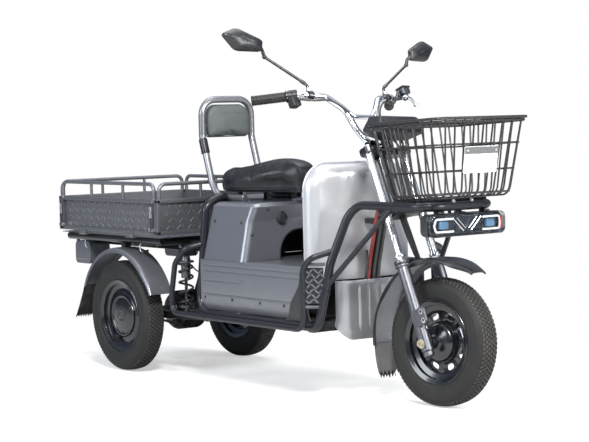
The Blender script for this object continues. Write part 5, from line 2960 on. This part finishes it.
@dataclass
class Studio:
    """The pale floor, the soft light and the camera at the photograph's angle."""

    eye: tuple[float, float, float] = (5967.8, -3987.2, 986.0)
    yaw: float = 2.4908
    pitch: float = -0.0596
    roll: float = -0.0238
    focal: float = 1794.5
    width: float = 589.0
    sensor: float = 36.0
    floor_half: float = 30.0
    lamps: tuple[Lamp, ...] = (
        Lamp("key", (3.6, -2.4, 4.0), 1.1, 430, (1.0, 0.98, 0.95)),
        Lamp("side", (-0.6, -4.4, 2.2), 2.4, 150, (0.9, 0.95, 1.0)),
        Lamp("front", (4.8, 1.2, 2.0), 2.0, 250, (1.0, 0.99, 0.97)),
        Lamp("top", (-0.4, 0.6, 4.6), 3.2, 120, (1.0, 1.0, 1.0)),
    )

    def camera(self) -> None:
        """Places the camera."""
        made = bpy.data.cameras.new("camera")
        made.lens = self.focal * self.sensor / self.width
        made.sensor_width = self.sensor
        made.clip_end = 60
        holder = bpy.data.objects.new("camera", made)
        bpy.context.scene.collection.objects.link(holder)
        ahead = Vector((math.cos(self.yaw) * math.cos(self.pitch), math.sin(self.yaw) * math.cos(self.pitch),
                        math.sin(self.pitch)))
        right = ahead.cross(Vector((0, 0, 1))).normalized()
        up = right.cross(ahead)
        across = right * math.cos(self.roll) + up * math.sin(self.roll)
        top = up * math.cos(self.roll) - right * math.sin(self.roll)
        turn = Matrix((across, top, -ahead)).transposed().to_4x4()
        holder.matrix_world = Matrix.Translation(BENCH @ Vector(self.eye)) @ turn
        bpy.context.scene.camera = holder

    def world(self) -> None:
        """White behind the object, and a plain sky that lights it."""
        made = bpy.data.worlds.new("studio")
        made.use_nodes = True
        tree = made.node_tree
        tree.nodes.clear()
        add, link = tree.nodes.new, tree.links.new
        path, place = add("ShaderNodeLightPath"), add("ShaderNodeTexCoord")
        split, ramp = add("ShaderNodeSeparateXYZ"), add("ShaderNodeValToRGB")
        link(place.outputs["Generated"], split.inputs[0])
        height = add("ShaderNodeMath")
        height.operation = "MULTIPLY_ADD"
        height.inputs[1].default_value = height.inputs[2].default_value = 0.5
        link(split.outputs[2], height.inputs[0])
        link(height.outputs[0], ramp.inputs[0])
        stops = ((0.0, (0.24, 0.25, 0.28)), (0.42, (0.10, 0.12, 0.16)), (0.52, (0.05, 0.07, 0.12)),
                 (0.66, (0.24, 0.31, 0.44)), (0.95, (0.9, 0.92, 0.95)))
        for i, (at, shade) in enumerate(stops):
            stop = ramp.color_ramp.elements[i] if i < 2 else ramp.color_ramp.elements.new(at)
            stop.position, stop.color = at, (*shade, 1)
        sky, plain = add("ShaderNodeBackground"), add("ShaderNodeBackground")
        light, first, second = (add(k) for k in ("ShaderNodeBackground", "ShaderNodeMixShader",
                                                 "ShaderNodeMixShader"))
        link(ramp.outputs[0], sky.inputs[0])
        sky.inputs[1].default_value = 0.85
        light.inputs[0].default_value, light.inputs[1].default_value = (0.86, 0.93, 1.0, 1), 0.26
        plain.inputs[0].default_value, plain.inputs[1].default_value = (1, 1, 1, 1), 1.0
        shiny = add("ShaderNodeMath")
        shiny.operation = "MAXIMUM"
        link(path.outputs["Is Glossy Ray"], shiny.inputs[0])
        link(path.outputs["Is Transmission Ray"], shiny.inputs[1])
        link(shiny.outputs[0], first.inputs[0])
        link(light.outputs[0], first.inputs[1])
        link(sky.outputs[0], first.inputs[2])
        link(path.outputs["Is Camera Ray"], second.inputs[0])
        link(first.outputs[0], second.inputs[1])
        link(plain.outputs[0], second.inputs[2])
        end = add("ShaderNodeOutputWorld")
        link(second.outputs[0], end.inputs[0])
        bpy.context.scene.world = made

    @staticmethod
    def floor_finish() -> bpy.types.Material:
        """Pale ground that keeps the shadow and turns plain white away from the object."""
        tree = Shader("studio_floor")
        grit = tree.grain(30, 4)
        shade = tree.blend(grit, (0.60, 0.60, 0.60), (0.64, 0.64, 0.64))
        made = tree.finish({"Base Color": shade, "Roughness": 0.95, "Specular IOR Level": 0.05})
        ground = made.node_tree.nodes["Principled BSDF"].outputs[0]
        end = next(node for node in made.node_tree.nodes if node.type == "OUTPUT_MATERIAL")
        away = tree.node("ShaderNodeVectorMath", {"operation": "LENGTH"},
                         {0: tree.scaled((0.72, 1.0, 1))})["Value"]
        lift = tree.node("ShaderNodeEmission", {}, {"Color": (1, 1, 1, 1), "Strength": 0.5})[0]
        plain = tree.node("ShaderNodeEmission", {}, {"Color": (1, 1, 1, 1), "Strength": 1.0})[0]
        raised = tree.node("ShaderNodeAddShader", {}, {0: Socket(tree, ground), 1: lift})[0]
        near = tree.node("ShaderNodeMixShader", {}, {0: tree.step(away, 0.75, 1.5), 1: raised, 2: plain})[0]
        seen = tree.node("ShaderNodeLightPath")["Is Camera Ray"]
        whole = tree.node("ShaderNodeMixShader", {}, {0: seen, 1: Socket(tree, ground), 2: near})[0]
        made.node_tree.links.new(whole.socket, end.inputs[0])
        return made

    def floor(self) -> None:
        """Adds the floor, which keeps the tricycle's shadow."""
        mesh = bpy.data.meshes.new("studio_floor")
        far, low = self.floor_half, -0.0005
        mesh.from_pydata([(-far, -far, low), (far, -far, low), (far, far, low), (-far, far, low)], [],
                         [(0, 1, 2, 3)])
        mesh.materials.append(self.floor_finish())
        made = bpy.data.objects.new("studio_floor", mesh)
        bpy.context.scene.collection.objects.link(made)

    def build(self) -> None:
        """Sets the studio up."""
        self.camera()
        self.world()
        self.floor()
        for lamp in self.lamps:
            lamp.build()
        bpy.context.scene.view_settings.view_transform = "Standard"


def main() -> None:
    """Builds the sub-assemblies in order and reports each piece."""
    logging.basicConfig(level=logging.INFO, format="%(message)s")
    parts = (Studio(), Wheel(), Chassis(), RearFender(), TailLamp(), CargoBed(), SeatBox(), Cushions(),
             Backrest(),
             Bodywork(), Guards(), Basket(), Headlight(), Fork(), Cockpit())
    for part in parts:
        part.build()
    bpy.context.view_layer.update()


if __name__ == "__main__":
    main()
